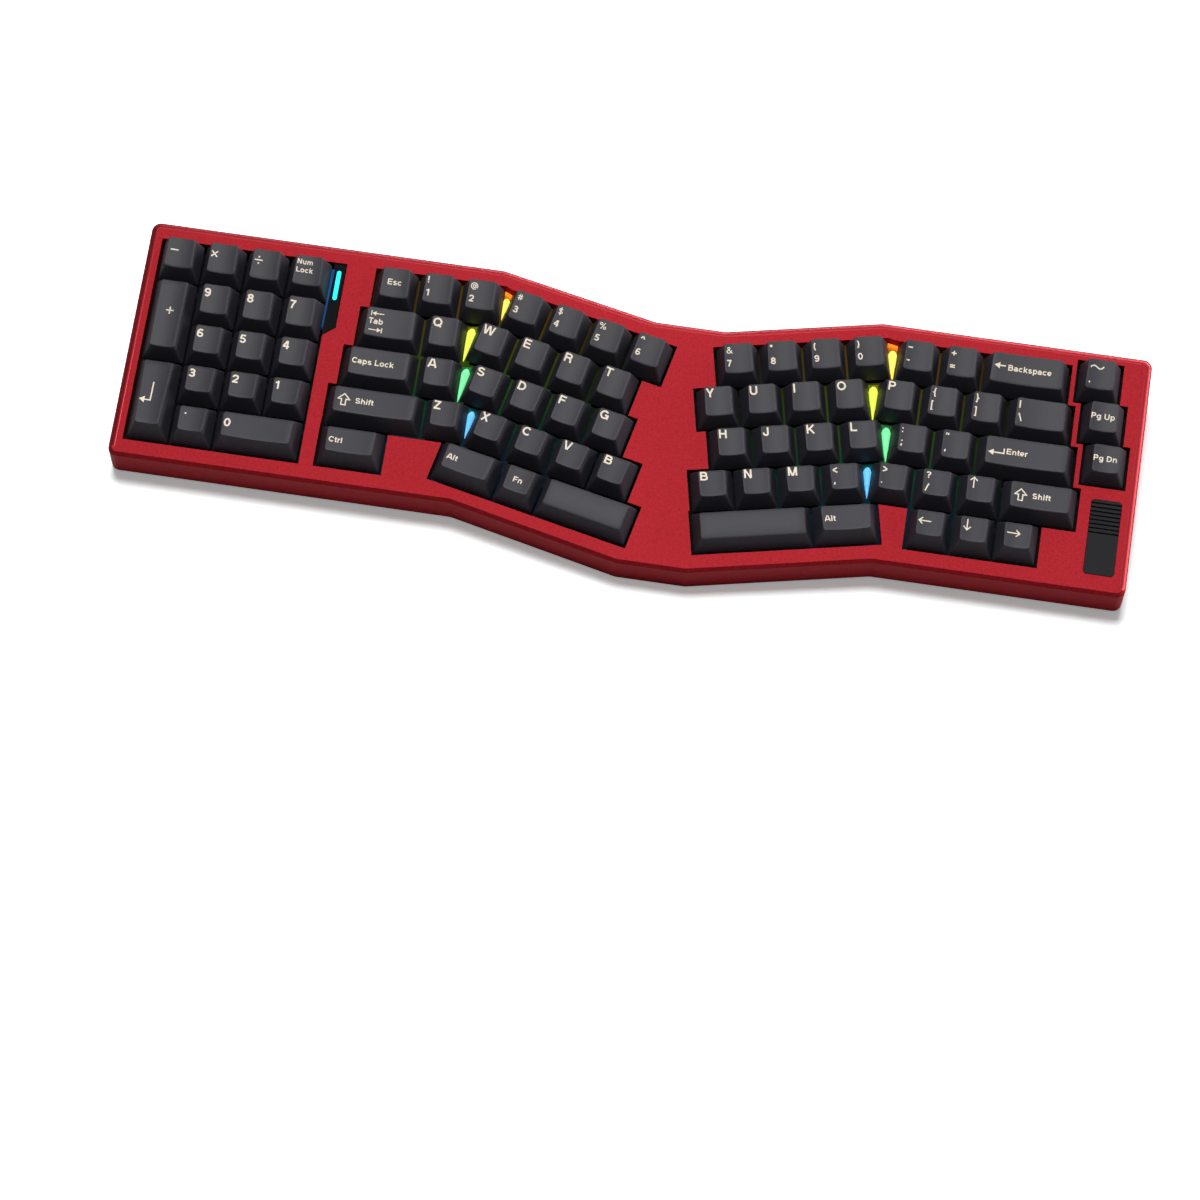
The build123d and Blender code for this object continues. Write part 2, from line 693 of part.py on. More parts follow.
def emblem_plate():
    """Low boat-shaped plate on the weight, left bare."""
    long_half, short_half = EMBLEM_HALF_LENGTHS
    near, deep = EMBLEM_DEPTHS
    face = Polygon(
        (-long_half, 0),
        (-long_half, -near),
        (-short_half, -deep),
        (short_half, -deep),
        (long_half, -near),
        (long_half, 0),
        align=None,
    )
    return Pos(EMBLEM_X, EMBLEM_REAR) * prism(
        face, WEIGHT_BOTTOM, WEIGHT_BOTTOM - EMBLEM_THICKNESS
    )


def foot(corner, to_right, to_rear, top):
    """A rubber foot: a right triangle with blunt corners, its square corner outwards.

    It is cut off level with the desk.
    """
    x, y = corner
    face = Polygon(
        (x, y), (x + to_right * FOOT_LEGS[0], y), (x, y + to_rear * FOOT_LEGS[1]), align=None
    )
    face = chamfer(face.vertices(), FOOT_CORNER)
    body = prism(face, top, FAR_BELOW)
    return split(body, bisect_by=DESK, keep=Keep.TOP)


def feet():
    """The rear pair under the block and the front pair under the weight."""
    left = CASE_LEFT + FOOT_MARGIN
    right = CASE_RIGHT - FOOT_MARGIN
    rear = CASE_REAR - FOOT_MARGIN
    front = CASE_FRONT + FOOT_MARGIN
    rear_pair = [foot((left, rear), 1, -1, 0), foot((right, rear), -1, -1, 0)]
    rear_pair = [split(one, bisect_by=BLOCK_BASE, keep=Keep.BOTTOM) for one in rear_pair]
    front_pair = [
        foot((left, front), 1, 1, WEIGHT_BOTTOM),
        foot((right, front), -1, 1, WEIGHT_BOTTOM),
    ]
    return rear_pair, front_pair


def screw_heads():
    """Seat of each screw's head: deep inside the rear block, or flush inside the weight."""
    heads = []
    for x, y in screw_places()["rear"]:
        heads.append((x, y, BLOCK_TOP - SCREW_SEAT))
    for x, y in screw_places()["front"]:
        heads.append((x, y, WEIGHT_BOTTOM + SCREW_HEAD[1]))
    return heads


def screw(slack):
    """One screw standing on its head's upper face at Z = 0, its shank upwards."""
    head = six_sided(SCREW_HEAD[0] + 2 * slack, 0, -SCREW_HEAD[1])
    return head + six_sided(SCREW_SHANK[0] + 2 * slack, SCREW_SHANK[1] + slack, 0)


def case_screws():
    """All case screws, hidden by the feet and the emblem."""
    return [Pos(*spot) * screw(0) for spot in screw_heads()]


def screw_room(slack):
    """Room for the screws, with each head's counterbore open downwards."""
    room = []
    for spot in screw_heads():
        bore = six_sided(SCREW_HEAD[0] + 2 * slack, 0, FAR_BELOW)
        room += [Pos(*spot) * screw(slack), Pos(*spot) * bore]
    return room


def deck_badge():
    """Black plate in the deck's recess, grooved over its rear half."""
    top = BADGE_PROUD
    body = prism(badge_outline(FIT / 2), top, -BADGE_RECESS)
    for i in range(BADGE_GROOVES):
        groove = box(FAR, BADGE_GROOVE, top, top - BADGE_GROOVE)
        body -= Pos(BADGE_CENTRE[0], BADGE_REAR - (i + 1) * BADGE_GROOVE_PITCH) * groove
    return body


def indicator_parts():
    """Black cover beside the numpad, its light bar, and the strip that lights its edge."""
    left = NUMPAD_RIGHT + WINDOW_MARGIN / 2
    right = INDICATOR_RIGHT - FIT
    rear = WINDOW_MARGIN - FIT
    drop = (INDICATOR_STEPS[1] - INDICATOR_STEPS[0]) * (right - left) / (
        INDICATOR_WIDTH - WINDOW_MARGIN
    )
    step = INDICATOR_STEPS[0] + FIT
    face = Polygon((left, rear), (left, step + drop), (right, step), (right, rear), align=None)
    top = -INDICATOR_SUNK
    cover = prism(face, top, top - INDICATOR_COVER_THICKNESS)
    bar_face = Rot(0, 0, 90) * slot_outline(LIGHT_BAR_SIZE[1], LIGHT_BAR_SIZE[0])
    bar_face = Pos(right - LIGHT_BAR_INSET, LIGHT_BAR_REAR - LIGHT_BAR_SIZE[1] / 2) * bar_face
    bar = prism(bar_face, top + LIGHT_BAR_PROUD, top - LIGHT_BAR_SUNK)
    cover -= prism(bar_face, top, top - LIGHT_BAR_SUNK)
    strip_length = rear - step - 2 * FIT
    strip = Pos(left - EDGE_STRIP_WIDTH / 2, (rear + step) / 2) * box(
        EDGE_STRIP_WIDTH, strip_length, top, top - INDICATOR_COVER_THICKNESS
    )
    return cover, bar, strip


def light_guides(straight_rows, turned_rows):
    """Clear wedges that fill the gaps between a straight and a turned block."""
    sideways = GUIDE_CLEARANCE - CAP_GAP / 2
    wedges = []
    for straight, turned in list(zip(straight_rows, turned_rows))[:GUIDED_LINE_COUNT]:
        rear_gap = GUIDE_BLOCK_DEPTH + GUIDE_BLOCK_GAP if straight.line == 0 else 0.0
        corners = split_corners(straight, turned, sideways, GUIDE_END_GAP)
        near, near_front, far_front, far = corners
        share = tip_share(corners)
        face = Polygon(
            drawn_forward(near, near_front, rear_gap),
            between(near, near_front, share),
            between(far, far_front, share),
            drawn_forward(far, far_front, rear_gap),
            align=None,
        )
        wedges.append(prism(face, GUIDE_TOP, PLATE_TOP))
    return wedges


def tip_share(corners):
    """How far along its length a wedge narrows to the width of its tip, at most all of it."""
    near, near_front, far_front, far = corners
    wide = far[0] - near[0]
    thin = far_front[0] - near_front[0]
    tip = math.copysign(GUIDE_TIP, wide)
    return min(1.0, (wide - tip) / (wide - thin))


def between(start, end, share):
    """The point at a share of the way from start to end."""
    return tuple(a + (b - a) * share for a, b in zip(start, end))


def drawn_forward(start, end, length):
    """The point that lies a length in Y from start, on the way to end."""
    return between(start, end, length / abs(end[1] - start[1]))


def light_blocks():
    """Small blocks behind the rear wedge of each split."""
    blocks = []
    sideways = GUIDE_CLEARANCE - CAP_GAP / 2
    pairs = ((LEFT_ROWS[0], LEFT_TURNED_ROWS[0]), (RIGHT_ROWS[0], RIGHT_TURNED_ROWS[0]))
    for straight, turned in pairs:
        corners = split_corners(straight, turned, sideways, GUIDE_END_GAP)
        near, near_front, far_front, far = corners
        face = Polygon(
            near,
            drawn_forward(near, near_front, GUIDE_BLOCK_DEPTH),
            drawn_forward(far, far_front, GUIDE_BLOCK_DEPTH),
            far,
            align=None,
        )
        blocks.append(prism(face, GUIDE_TOP, PLATE_TOP))
    return blocks


def keycap(width, depth, line, is_space):
    """Hollow tapered cap with a dished or crowned top, on its skirt at Z = 0."""
    profile = PROFILES[line]
    base = (width * PITCH - CAP_GAP, depth * PITCH - CAP_GAP)
    body = tapered(base, profile, profile.height + 2 * DISH_DEPTH + CAP_CORNER)
    slanted = [e for e in body.edges() if abs((e % 0.5).Z) > 0.5]
    body = chamfer(slanted, CAP_CORNER)
    middle_y = (profile.front_inset - profile.rear_inset) / 2
    if is_space:
        crown = Rot(0, 90, 0) * Cylinder(SPACE_CROWN_RADIUS, FAR)
        body &= Pos(0, middle_y, profile.height - SPACE_CROWN_RADIUS) * crown
    else:
        lean = Rot(profile.lean, 0, 0)
        body -= Pos(0, middle_y, profile.height) * lean * dish(base[0] - 2 * profile.side_inset)
    inside = (base[0] - 2 * CAP_WALL, base[1] - 2 * CAP_WALL)
    return body - tapered(inside, profile, profile.height - CAP_TOP_THICKNESS)


def dish(chord):
    """What a shallow hollow across a cap's top takes away: an arc drawn with a few flats."""
    radius = (chord**2 / 4 + DISH_DEPTH**2) / (2 * DISH_DEPTH)
    step = 2 * math.asin(chord / 2 / radius) / DISH_FACETS
    points = []
    for i in range(-1, DISH_FACETS + 2):
        angle = (i - DISH_FACETS / 2) * step
        points.append((radius * math.sin(angle), radius * (1 - math.cos(angle))))
    points += [(points[-1][0], FAR_ABOVE), (points[0][0], FAR_ABOVE)]
    section = Plane.XZ * Polygon(*points, align=None)
    return extrude(section, amount=FAR, both=True)


def tapered(base, profile, height):
    """A block on base whose sides lean in as the row's profile says, up to a height."""
    share = height / profile.height
    top_x = base[0] - 2 * profile.side_inset * share
    top_y = base[1] - (profile.rear_inset + profile.front_inset) * share
    shift = (profile.front_inset - profile.rear_inset) / 2 * share
    return frustum(base, (top_x, top_y), height, shift)


def stem(ceiling):
    """The switch's slider, from the cap's ceiling down into its housing."""
    return box(SLIDER[0], SLIDER[1], ceiling, SLIDER_BOTTOM)


def insert(ceiling):
    """A stabiliser's sliding insert, from the cap's ceiling down into its housing."""
    bottom = PLATE_TOP + TRAVEL + SLIDER_END_GAP
    return box(INSERT_WIDTH, INSERT_WIDTH, ceiling, bottom)


def stabiliser_places(key):
    """Where a wide or tall key's two stabilisers sit, in the deck's frame."""
    if max(key.width, key.depth) < STABILISED_UNIT_COUNT:
        return []
    turn = 90 if key.depth > key.width else 0
    spots = []
    for side in (-1, 1):
        spots.append(place(key) * Rot(0, 0, turn) * Pos(side * STABILISER_REACH, 0, 0))
    return spots


def switch_housing():
    """Lower body through the plate, upper body on it, and the slider's pocket."""
    lower = box(HOUSING_BODY, HOUSING_BODY, PLATE_TOP, BOARD_TOP)
    flange = (HOUSING_FLANGE, HOUSING_FLANGE)
    upper = Pos(0, 0, PLATE_TOP) * frustum(flange, HOUSING_TOP, HOUSING_RISE)
    room = (SLIDER[0] + 2 * SLIDER_SLACK, SLIDER[1] + 2 * SLIDER_SLACK)
    return lower + upper - box(room[0], room[1], 0, POCKET_FLOOR)


def stabiliser_housing():
    """Box on the plate with a square guide for the insert."""
    room = INSERT_WIDTH + 2 * INSERT_SLACK
    body = box(*STABILISER_HOUSING, PLATE_TOP + STABILISER_RISE, PLATE_TOP)
    return body - box(room, room, 0, PLATE_TOP)


def switch_plate():
    """Plate that holds every switch in a square hole."""
    outline = case_outline(PLATE_INSET, rounded=False)
    body = prism(outline, PLATE_TOP, PLATE_BOTTOM)
    hole = box(PLATE_HOLE, PLATE_HOLE, 0, BOARD_TOP)
    body -= [place(key) * hole for key in KEYS]
    return body - post_room(FIT)


def circuit_board():
    """Main board under the switches, which ends where the outermost housings do."""
    body = prism(case_outline(BOARD_INSET, rounded=False), BOARD_TOP, BOARD_BOTTOM)
    return body - post_room(FIT)


def board_foam():
    """Damping sheet between the main board and the floor."""
    outline = case_outline(BOARD_INSET + FIT, rounded=False)
    body = prism(outline, BOARD_BOTTOM - FOAM_GAP, FOAM_BOTTOM)
    return body - post_room(FIT)


def build_nodes():
    """Every node of the keyboard, in the deck's frame: a name and its solids."""
    nodes = {}
    nodes["case_top"] = [case_top()]
    nodes["case_bottom"] = [case_bottom()]
    nodes["bottom_weight"] = [bottom_weight()]
    nodes["ribbed_bar"] = [ribbed_bar()]
    nodes["emblem_plate"] = [emblem_plate()]
    nodes["rear_feet"], nodes["front_feet"] = feet()
    nodes["deck_badge"] = [deck_badge()]
    cover, bar, strip = indicator_parts()
    nodes["indicator_cover"] = [cover]
    nodes["indicator_light_bar"] = [bar]
    nodes["indicator_edge_strip"] = [strip]
    nodes["light_wedges_left"] = light_guides(LEFT_ROWS, LEFT_TURNED_ROWS)
    nodes["light_wedges_right"] = light_guides(RIGHT_ROWS, RIGHT_TURNED_ROWS)
    nodes["light_blocks"] = light_blocks()
    nodes["switch_plate"] = [switch_plate()]
    nodes["circuit_board"] = [circuit_board()]
    nodes["board_foam"] = [board_foam()]
    nodes["gasket_strips"] = gasket_strips()
    nodes["connector_board"] = [connector_board()]
    nodes["usb_c_receptacle"] = [usb_c_receptacle()]
    nodes["case_screws"] = case_screws()
    housing = switch_housing()
    nodes["switch_housings"] = [place(key) * housing for key in KEYS]
    guide = stabiliser_housing()
    spots = [spot for key in KEYS for spot in stabiliser_places(key)]
    nodes["stabiliser_housings"] = [spot * guide for spot in spots]
    caps = {}
    for key in KEYS:
        is_space = key.node in SPACE_KEYS
        shape = (key.width, key.depth, key.line, is_space)
        if shape not in caps:
            caps[shape] = Pos(0, 0, SKIRT_Z) * keycap(*shape)
        ceiling = SKIRT_Z + PROFILES[key.line].height - CAP_TOP_THICKNESS
        solids = nodes.setdefault(key.node, [])
        solids += [place(key) * caps[shape], place(key) * stem(ceiling)]
        solids += [spot * insert(ceiling) for spot in stabiliser_places(key)]
    return nodes


def stand_on_desk(nodes):
    """Tilts every node by the typing angle, its box's bottom centre on the origin."""
    tilt = Rot(TYPING_ANGLE, 0, 0)
    tilted = {}
    for name, shapes in nodes.items():
        solids = [solid for shape in shapes for solid in shape.solids()]
        tilted[name] = Compound(children=[tilt * solid for solid in solids])
    whole = Compound(children=[Compound(tilted[name].wrapped) for name in tilted])
    bounds = whole.bounding_box()
    shift = Pos(-bounds.center().X, -bounds.center().Y, -bounds.min.Z)
    print("size", bounds.size, "deck origin", shift.position)
    return {name: shift * shape for name, shape in tilted.items()}


os.makedirs("parts", exist_ok=True)
for node_name, node_shape in stand_on_desk(build_nodes()).items():
    export_step(node_shape, f"parts/{node_name}.step")
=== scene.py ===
import logging
import math
from dataclasses import dataclass, field
from enum import Enum
from typing import Iterable, Sequence

import bmesh
import bpy
import numpy as np
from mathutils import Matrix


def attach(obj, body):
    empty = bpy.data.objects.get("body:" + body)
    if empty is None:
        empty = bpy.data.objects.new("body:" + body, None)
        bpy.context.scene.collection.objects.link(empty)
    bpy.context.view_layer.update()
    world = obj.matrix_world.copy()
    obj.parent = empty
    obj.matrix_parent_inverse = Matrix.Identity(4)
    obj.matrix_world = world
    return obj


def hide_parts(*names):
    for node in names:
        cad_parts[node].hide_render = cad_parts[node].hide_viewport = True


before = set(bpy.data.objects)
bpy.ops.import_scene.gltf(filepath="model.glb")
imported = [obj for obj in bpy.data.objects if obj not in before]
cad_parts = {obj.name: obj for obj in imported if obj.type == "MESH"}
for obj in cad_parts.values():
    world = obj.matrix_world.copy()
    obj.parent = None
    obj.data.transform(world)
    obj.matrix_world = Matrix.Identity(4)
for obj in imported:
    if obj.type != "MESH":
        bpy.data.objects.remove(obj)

# Ergonomic mechanical keyboard, seen from above and a little from the right. Lengths in the
# classes are millimetres in the deck's own frame: X along the straight key rows, Y to the rear,
# Z out of the deck, with the deck's face at Z = 0. Deck.place turns them into metres on the desk.

log = logging.getLogger("keyboard")
# The key spacing, and a millimetre in metres
PITCH = 19.05
MM = 0.001
# A closed surface: rows of X, Y, Z, and its faces as lists of row numbers
Shell = tuple[np.ndarray, list[list[int]]]


def linear(code: str) -> tuple[float, float, float, float]:
    """Turns a colour as it is written into the numbers that a shader mixes.

    Args:
        code: sRGB hex value, such as "b22a32".

    Returns:
        Linear red, green and blue, and an alpha of 1.
    """
    parts = [int(code[i : i + 2], 16) / 255 for i in (0, 2, 4)]
    light = [p / 12.92 if p <= 0.04045 else ((p + 0.055) / 1.055) ** 2.4 for p in parts]
    return (light[0], light[1], light[2], 1.0)


def add_node(tree: bpy.types.NodeTree, kind: str, inputs: dict | None = None, **settings) -> bpy.types.Node:
    """Adds a node with its settings and links.

    Args:
        tree: The material's or the world's node tree.
        kind: The node's type name.
        inputs: Socket name or number, to a value or to the socket that feeds it.
        settings: Properties of the node itself.

    Returns:
        The new node.
    """
    node = tree.nodes.new(kind)
    for name, value in settings.items():
        setattr(node, name, value)
    for socket, value in (inputs or {}).items():
        if isinstance(value, bpy.types.NodeSocket):
            tree.links.new(value, node.inputs[socket])
        else:
            node.inputs[socket].default_value = value
    return node


@dataclass(frozen=True)
class Finish:
    """A finish: a named surface that any piece can wear."""

    name: str

    def shade(self, tree: bpy.types.NodeTree, place: bpy.types.NodeSocket) -> bpy.types.NodeSocket:
        """Builds the surface.

        Args:
            tree: The material's node tree.
            place: The point on the piece, in its own coordinates in metres.

        Returns:
            The shader socket for the material's surface.
        """
        raise NotImplementedError

    def material(self) -> bpy.types.Material:
        """Makes the finish into a material once, and shares it from then on.

        Returns:
            The material, which has the finish's name.
        """
        ready = bpy.data.materials.get(self.name)
        if ready:
            return ready
        made = bpy.data.materials.new(self.name)
        made.use_nodes = True
        tree = made.node_tree
        tree.nodes.clear()
        place = add_node(tree, "ShaderNodeTexCoord").outputs["Object"]
        add_node(tree, "ShaderNodeOutputMaterial", {"Surface": self.shade(tree, place)})
        return made


def speckle(
    tree: bpy.types.NodeTree, place: bpy.types.NodeSocket, size: float, detail: float = 2.0
) -> bpy.types.NodeSocket:
    """Fine irregular spots.

    Args:
        tree: The node tree.
        place: The point on the piece.
        size: Distance between spots in millimetres.
        detail: How many finer layers lie on them.

    Returns:
        A value around one half.
    """
    noise = add_node(
        tree,
        "ShaderNodeTexNoise",
        {"Vector": place, "Scale": 1 / (size * MM), "Detail": detail, "Roughness": 0.6},
    )
    return noise.outputs["Fac"]


@dataclass(frozen=True)
class Surface(Finish):
    """An opaque surface: its colour drifts slowly, its grain is fine, and its gloss varies.

    Patch and grain are the spacings of the slow and the fine pattern, and grain_height is the fine
    one's depth, all in millimetres. Patch_share and speck_share say how far each pattern moves the
    colour between its two ends. Level is the strength of the clear reflection on a bare surface.
    """

    colour: str
    # The darker end of the random drift and speckle, not shade
    darker_colour: str
    roughness: float
    grain: float
    grain_height: float
    patch: float
    patch_share: float
    metallic: float = 0.0
    gloss_spread: float = 0.06
    speck_share: float = 0.0
    coat: float = 0.0
    coat_roughness: float = 0.3
    level: float = 0.5

    def shade(self, tree: bpy.types.NodeTree, place: bpy.types.NodeSocket) -> bpy.types.NodeSocket:
        """Builds the surface.

        Args:
            tree: The material's node tree.
            place: The point on the piece, in its own coordinates in metres.

        Returns:
            The shader socket for the material's surface.
        """
        drift = speckle(tree, place, self.patch)
        fine = speckle(tree, place, self.grain, detail=3.0)
        share = add_node(
            tree,
            "ShaderNodeMath",
            {0: drift, 1: self.patch_share, 2: 0.5 - (self.patch_share + self.speck_share) / 2},
            operation="MULTIPLY_ADD",
        )
        speck = add_node(
            tree,
            "ShaderNodeMath",
            {0: fine, 1: self.speck_share, 2: share.outputs[0]},
            operation="MULTIPLY_ADD",
        )
        colour = add_node(
            tree,
            "ShaderNodeMix",
            {0: speck.outputs[0], 6: linear(self.darker_colour), 7: linear(self.colour)},
            data_type="RGBA",
        )
        rough = add_node(
            tree,
            "ShaderNodeMapRange",
            {
                "Value": fine,
                "To Min": self.roughness - self.gloss_spread,
                "To Max": self.roughness + self.gloss_spread,
            },
        )
        bump = add_node(
            tree,
            "ShaderNodeBump",
            {"Height": fine, "Strength": 1.0, "Distance": self.grain_height * MM},
        )
        shader = add_node(
            tree,
            "ShaderNodeBsdfPrincipled",
            {
                "Base Color": colour.outputs[2],
                "Roughness": rough.outputs[0],
                "Metallic": self.metallic,
                "Normal": bump.outputs[0],
                "Coat Weight": self.coat,
                "Coat Roughness": self.coat_roughness,
                "Specular IOR Level": self.level,
            },
        )
        return shader.outputs[0]


@dataclass(frozen=True)
class LitAcrylic(Finish):
    """Clear acrylic with a lamp behind it: it glows in clouds of two colours, streak wide."""

    colour: str
    core_colour: str
    strength: float
    streak: float = 1.5
    roughness: float = 0.55
    level: float = 0.06

    def shade(self, tree: bpy.types.NodeTree, place: bpy.types.NodeSocket) -> bpy.types.NodeSocket:
        """Builds the surface.

        Args:
            tree: The material's node tree.
            place: The point on the piece, in its own coordinates in metres.

        Returns:
            The shader socket for the material's surface.
        """
        cloud = speckle(tree, place, self.streak, detail=1.0)
        glow = add_node(
            tree,
            "ShaderNodeMix",
            {0: cloud, 6: linear(self.colour), 7: linear(self.core_colour)},
            data_type="RGBA",
        )
        shader = add_node(
            tree,
            "ShaderNodeBsdfPrincipled",
            {
                "Base Color": glow.outputs[2],
                "Roughness": self.roughness,
                "Specular IOR Level": self.level,
                "Emission Color": glow.outputs[2],
                "Emission Strength": self.strength,
            },
        )
        return shader.outputs[0]


@dataclass(frozen=True)
class PaintedGlowPlate(Finish):
    """Black anodised sheet with a painted glow for the lamps under the keys, each spot in its own colour.

    The lengths are millimetres in the deck's frame. The glow runs through the stops from the front
    line to the rear one. It is full near the two splits and gone at its reach from them.
    """

    deck_origin: tuple[float, float, float]
    front_line: float = -96.0
    rear_line: float = 2.0
    splits: tuple[float, float] = (149.0, 322.0)
    full_within: float = 12.0
    reach: float = 75.0
    strength: float = 0.16
    colour: str = "121214"
    roughness: float = 0.6
    level: float = 0.06
    grain: float = 0.4
    grain_height: float = 0.01
    stops: tuple[tuple[float, str], ...] = (
        (0.0, "0a1c30"),
        (0.22, "12506a"),
        (0.42, "1c8a4c"),
        (0.62, "6b9a1e"),
        (0.9, "a87a12"),
    )

    def shade(self, tree: bpy.types.NodeTree, place: bpy.types.NodeSocket) -> bpy.types.NodeSocket:
        """Builds the surface.

        Args:
            tree: The material's node tree.
            place: The point on the piece, in its own coordinates in metres.

        Returns:
            The shader socket for the material's surface.
        """
        fine = speckle(tree, place, self.grain)
        xyz = add_node(tree, "ShaderNodeSeparateXYZ", {0: place})
        # The painted glow turns from orange at the rear to blue at the front
        rows = add_node(
            tree,
            "ShaderNodeMapRange",
            {
                "Value": xyz.outputs["Y"],
                "From Min": (self.deck_origin[1] + self.front_line) * MM,
                "From Max": (self.deck_origin[1] + self.rear_line) * MM,
            },
        )
        ramp = add_node(tree, "ShaderNodeValToRGB", {0: rows.outputs[0]})
        (_, front_code), *between, (rear_position, rear_code) = self.stops
        ramp.color_ramp.elements[0].color = linear(front_code)
        ramp.color_ramp.elements[1].position = rear_position
        ramp.color_ramp.elements[1].color = linear(rear_code)
        for position, code in between:
            ramp.color_ramp.elements.new(position).color = linear(code)
        # It fades out sideways from the two splits
        near = []
        for x in self.splits:
            away = add_node(
                tree,
                "ShaderNodeMath",
                {0: xyz.outputs["X"], 1: (x + self.deck_origin[0]) * MM},
                operation="SUBTRACT",
            )
            far = add_node(tree, "ShaderNodeMath", {0: away.outputs[0]}, operation="ABSOLUTE")
            fade = add_node(
                tree,
                "ShaderNodeMapRange",
                {
                    "Value": far.outputs[0],
                    "From Min": self.reach * MM,
                    "From Max": self.full_within * MM,
                },
                interpolation_type="SMOOTHERSTEP",
            )
            near.append(fade.outputs[0])
        both = add_node(tree, "ShaderNodeMath", {0: near[0], 1: near[1]}, operation="MAXIMUM")
        glow = add_node(
            tree,
            "ShaderNodeMix",
            {0: both.outputs[0], 6: linear("000000"), 7: ramp.outputs[0]},
            data_type="RGBA",
        )
        bump = add_node(tree, "ShaderNodeBump", {"Height": fine, "Distance": self.grain_height * MM})
        shader = add_node(
            tree,
            "ShaderNodeBsdfPrincipled",
            {
                "Base Color": linear(self.colour),
                "Roughness": self.roughness,
                "Specular IOR Level": self.level,
                "Normal": bump.outputs[0],
                "Emission Color": glow.outputs[2],
                "Emission Strength": self.strength,
            },
        )
        return shader.outputs[0]


def seen_directly(tree: bpy.types.NodeTree) -> bpy.types.NodeSocket:
    """Tells the eye's rays, also through clear parts, from other light.

    Args:
        tree: The material's or the world's node tree.

    Returns:
        A value of 1 for what the eye sees, and of 0 for other light.
    """
    path = add_node(tree, "ShaderNodeLightPath")
    both = add_node(
        tree,
        "ShaderNodeMath",
        {0: path.outputs["Is Camera Ray"], 1: path.outputs["Is Transmission Ray"]},
        operation="MAXIMUM",
    )
    return both.outputs[0]


@dataclass(frozen=True)
class OverexposedPaper(Finish):
    """White paper that shows the shadow. Seen directly, gain and lift burn out its soft edge."""

    gain: tuple[float, float, float] = (1.86, 2.0, 1.98)
    lift: float = 0.27
    fibre: float = 0.8
    colours: tuple[str, str] = ("f4f4f4", "fbfbfb")

    def shade(self, tree: bpy.types.NodeTree, place: bpy.types.NodeSocket) -> bpy.types.NodeSocket:
        """Builds the surface.

        Args:
            tree: The material's node tree.
            place: The point on the piece, in its own coordinates in metres.

        Returns:
            The shader socket for the material's surface.
        """
        fibre = speckle(tree, place, self.fibre)
        dark, light = self.colours
        tone = add_node(
            tree,
            "ShaderNodeMix",
            {0: fibre, 6: linear(dark), 7: linear(light)},
            data_type="RGBA",
        )
        paper = add_node(tree, "ShaderNodeBsdfDiffuse", {"Color": tone.outputs[2]})
        gain = add_node(
            tree,
            "ShaderNodeMix",
            {0: 1.0, 6: tone.outputs[2], 7: (*self.gain, 1.0)},
            data_type="RGBA",
            blend_type="MULTIPLY",
        )
        bright = add_node(tree, "ShaderNodeBsdfDiffuse", {"Color": gain.outputs[2]})
        glow = {"Color": linear("ffffff"), "Strength": self.lift}
        lift = add_node(tree, "ShaderNodeEmission", glow)
        both = add_node(tree, "ShaderNodeAddShader", {0: bright.outputs[0], 1: lift.outputs[0]})
        seen = seen_directly(tree)
        mixed = add_node(tree, "ShaderNodeMixShader", {0: seen, 1: paper.outputs[0], 2: both.outputs[0]})
        return mixed.outputs[0]


# Bead-blasted aluminium, dyed red in the anodising bath: an even satin with a very fine sparkle.
# The blasting grit is about 0.1 mm, drawn at 0.9 mm so that it shows.
RED_ANODISED = Surface(
    "red_anodised_aluminium", "ae2730", "75141a", roughness=0.55, metallic=0.5, grain=0.9,
    grain_height=0.02, patch=60.0, patch_share=0.1, speck_share=1.4, level=0.05,
)
# The outline's rounded edge, which the cutter leaves smoother: it catches the rim lamps as a pale
# line. Its red is lighter than the deck's dye, a painted highlight that strengthens that line
RED_EDGE_PAINTED_HIGHLIGHT = Surface(
    "red_rounded_edge_painted_highlight", "c62f3a", "a8232e", roughness=0.38, metallic=0.75, grain=0.9,
    grain_height=0.004, patch=60.0, patch_share=0.1, gloss_spread=0.04, speck_share=0.6, coat=0.3,
)
# Moulded PBT: matt charcoal with the spark-eroded texture of its mould, about 0.2 mm, drawn at
# 0.8 mm so that it shows
CHARCOAL_PBT = Surface(
    "charcoal_moulded_pbt", "38373f", "242329", roughness=0.5, grain=0.8, grain_height=0.02,
    patch=14.0, patch_share=0.2, gloss_spread=0.05, speck_share=0.8, level=0.29,
)
# The second shot of the same moulding, in cream: it shows as the legends
CREAM_PBT = Surface(
    "cream_moulded_pbt", "efe3cf", "e2d3bb", roughness=0.5, grain=0.3, grain_height=0.004,
    patch=6.0, patch_share=0.4, gloss_spread=0.04,
)
# Black electrophoretic coat on a steel plate: deep, satin, with a faint orange peel of 1.5 mm
BLACK_ECOAT = Surface(
    "black_coated_steel", "1b1b20", "141418", roughness=0.36, grain=1.5, grain_height=0.012,
    patch=40.0, patch_share=0.4, gloss_spread=0.05, coat=0.15, level=0.4,
)
# Black anodised, milled aluminium: duller than the coat, with a metal's faint gleam
BLACK_ANODISED = Surface(
    "black_anodised_aluminium", "19191d", "131316", roughness=0.5, metallic=0.3, grain=0.5,
    grain_height=0.006, patch=25.0, patch_share=0.3, gloss_spread=0.05, speck_share=0.3, level=0.12,
)
# The bar's ribs, anodised grey and milled bright. The black between them is painted shade in the grooves
GREY_ANODISED = Surface(
    "grey_anodised_aluminium", "6c6b74", "5c5b64", roughness=0.42, metallic=0.6, grain=0.5,
    grain_height=0.006, patch=25.0, patch_share=0.3, gloss_spread=0.05, speck_share=0.3, level=0.3,
)
# Silicone rubber: dull black that scatters light evenly
RUBBER = Surface(
    "black_silicone_rubber", "1e1e1f", "171718", roughness=0.72, grain=0.5, grain_height=0.02,
    patch=8.0, patch_share=0.4, level=0.15,
)
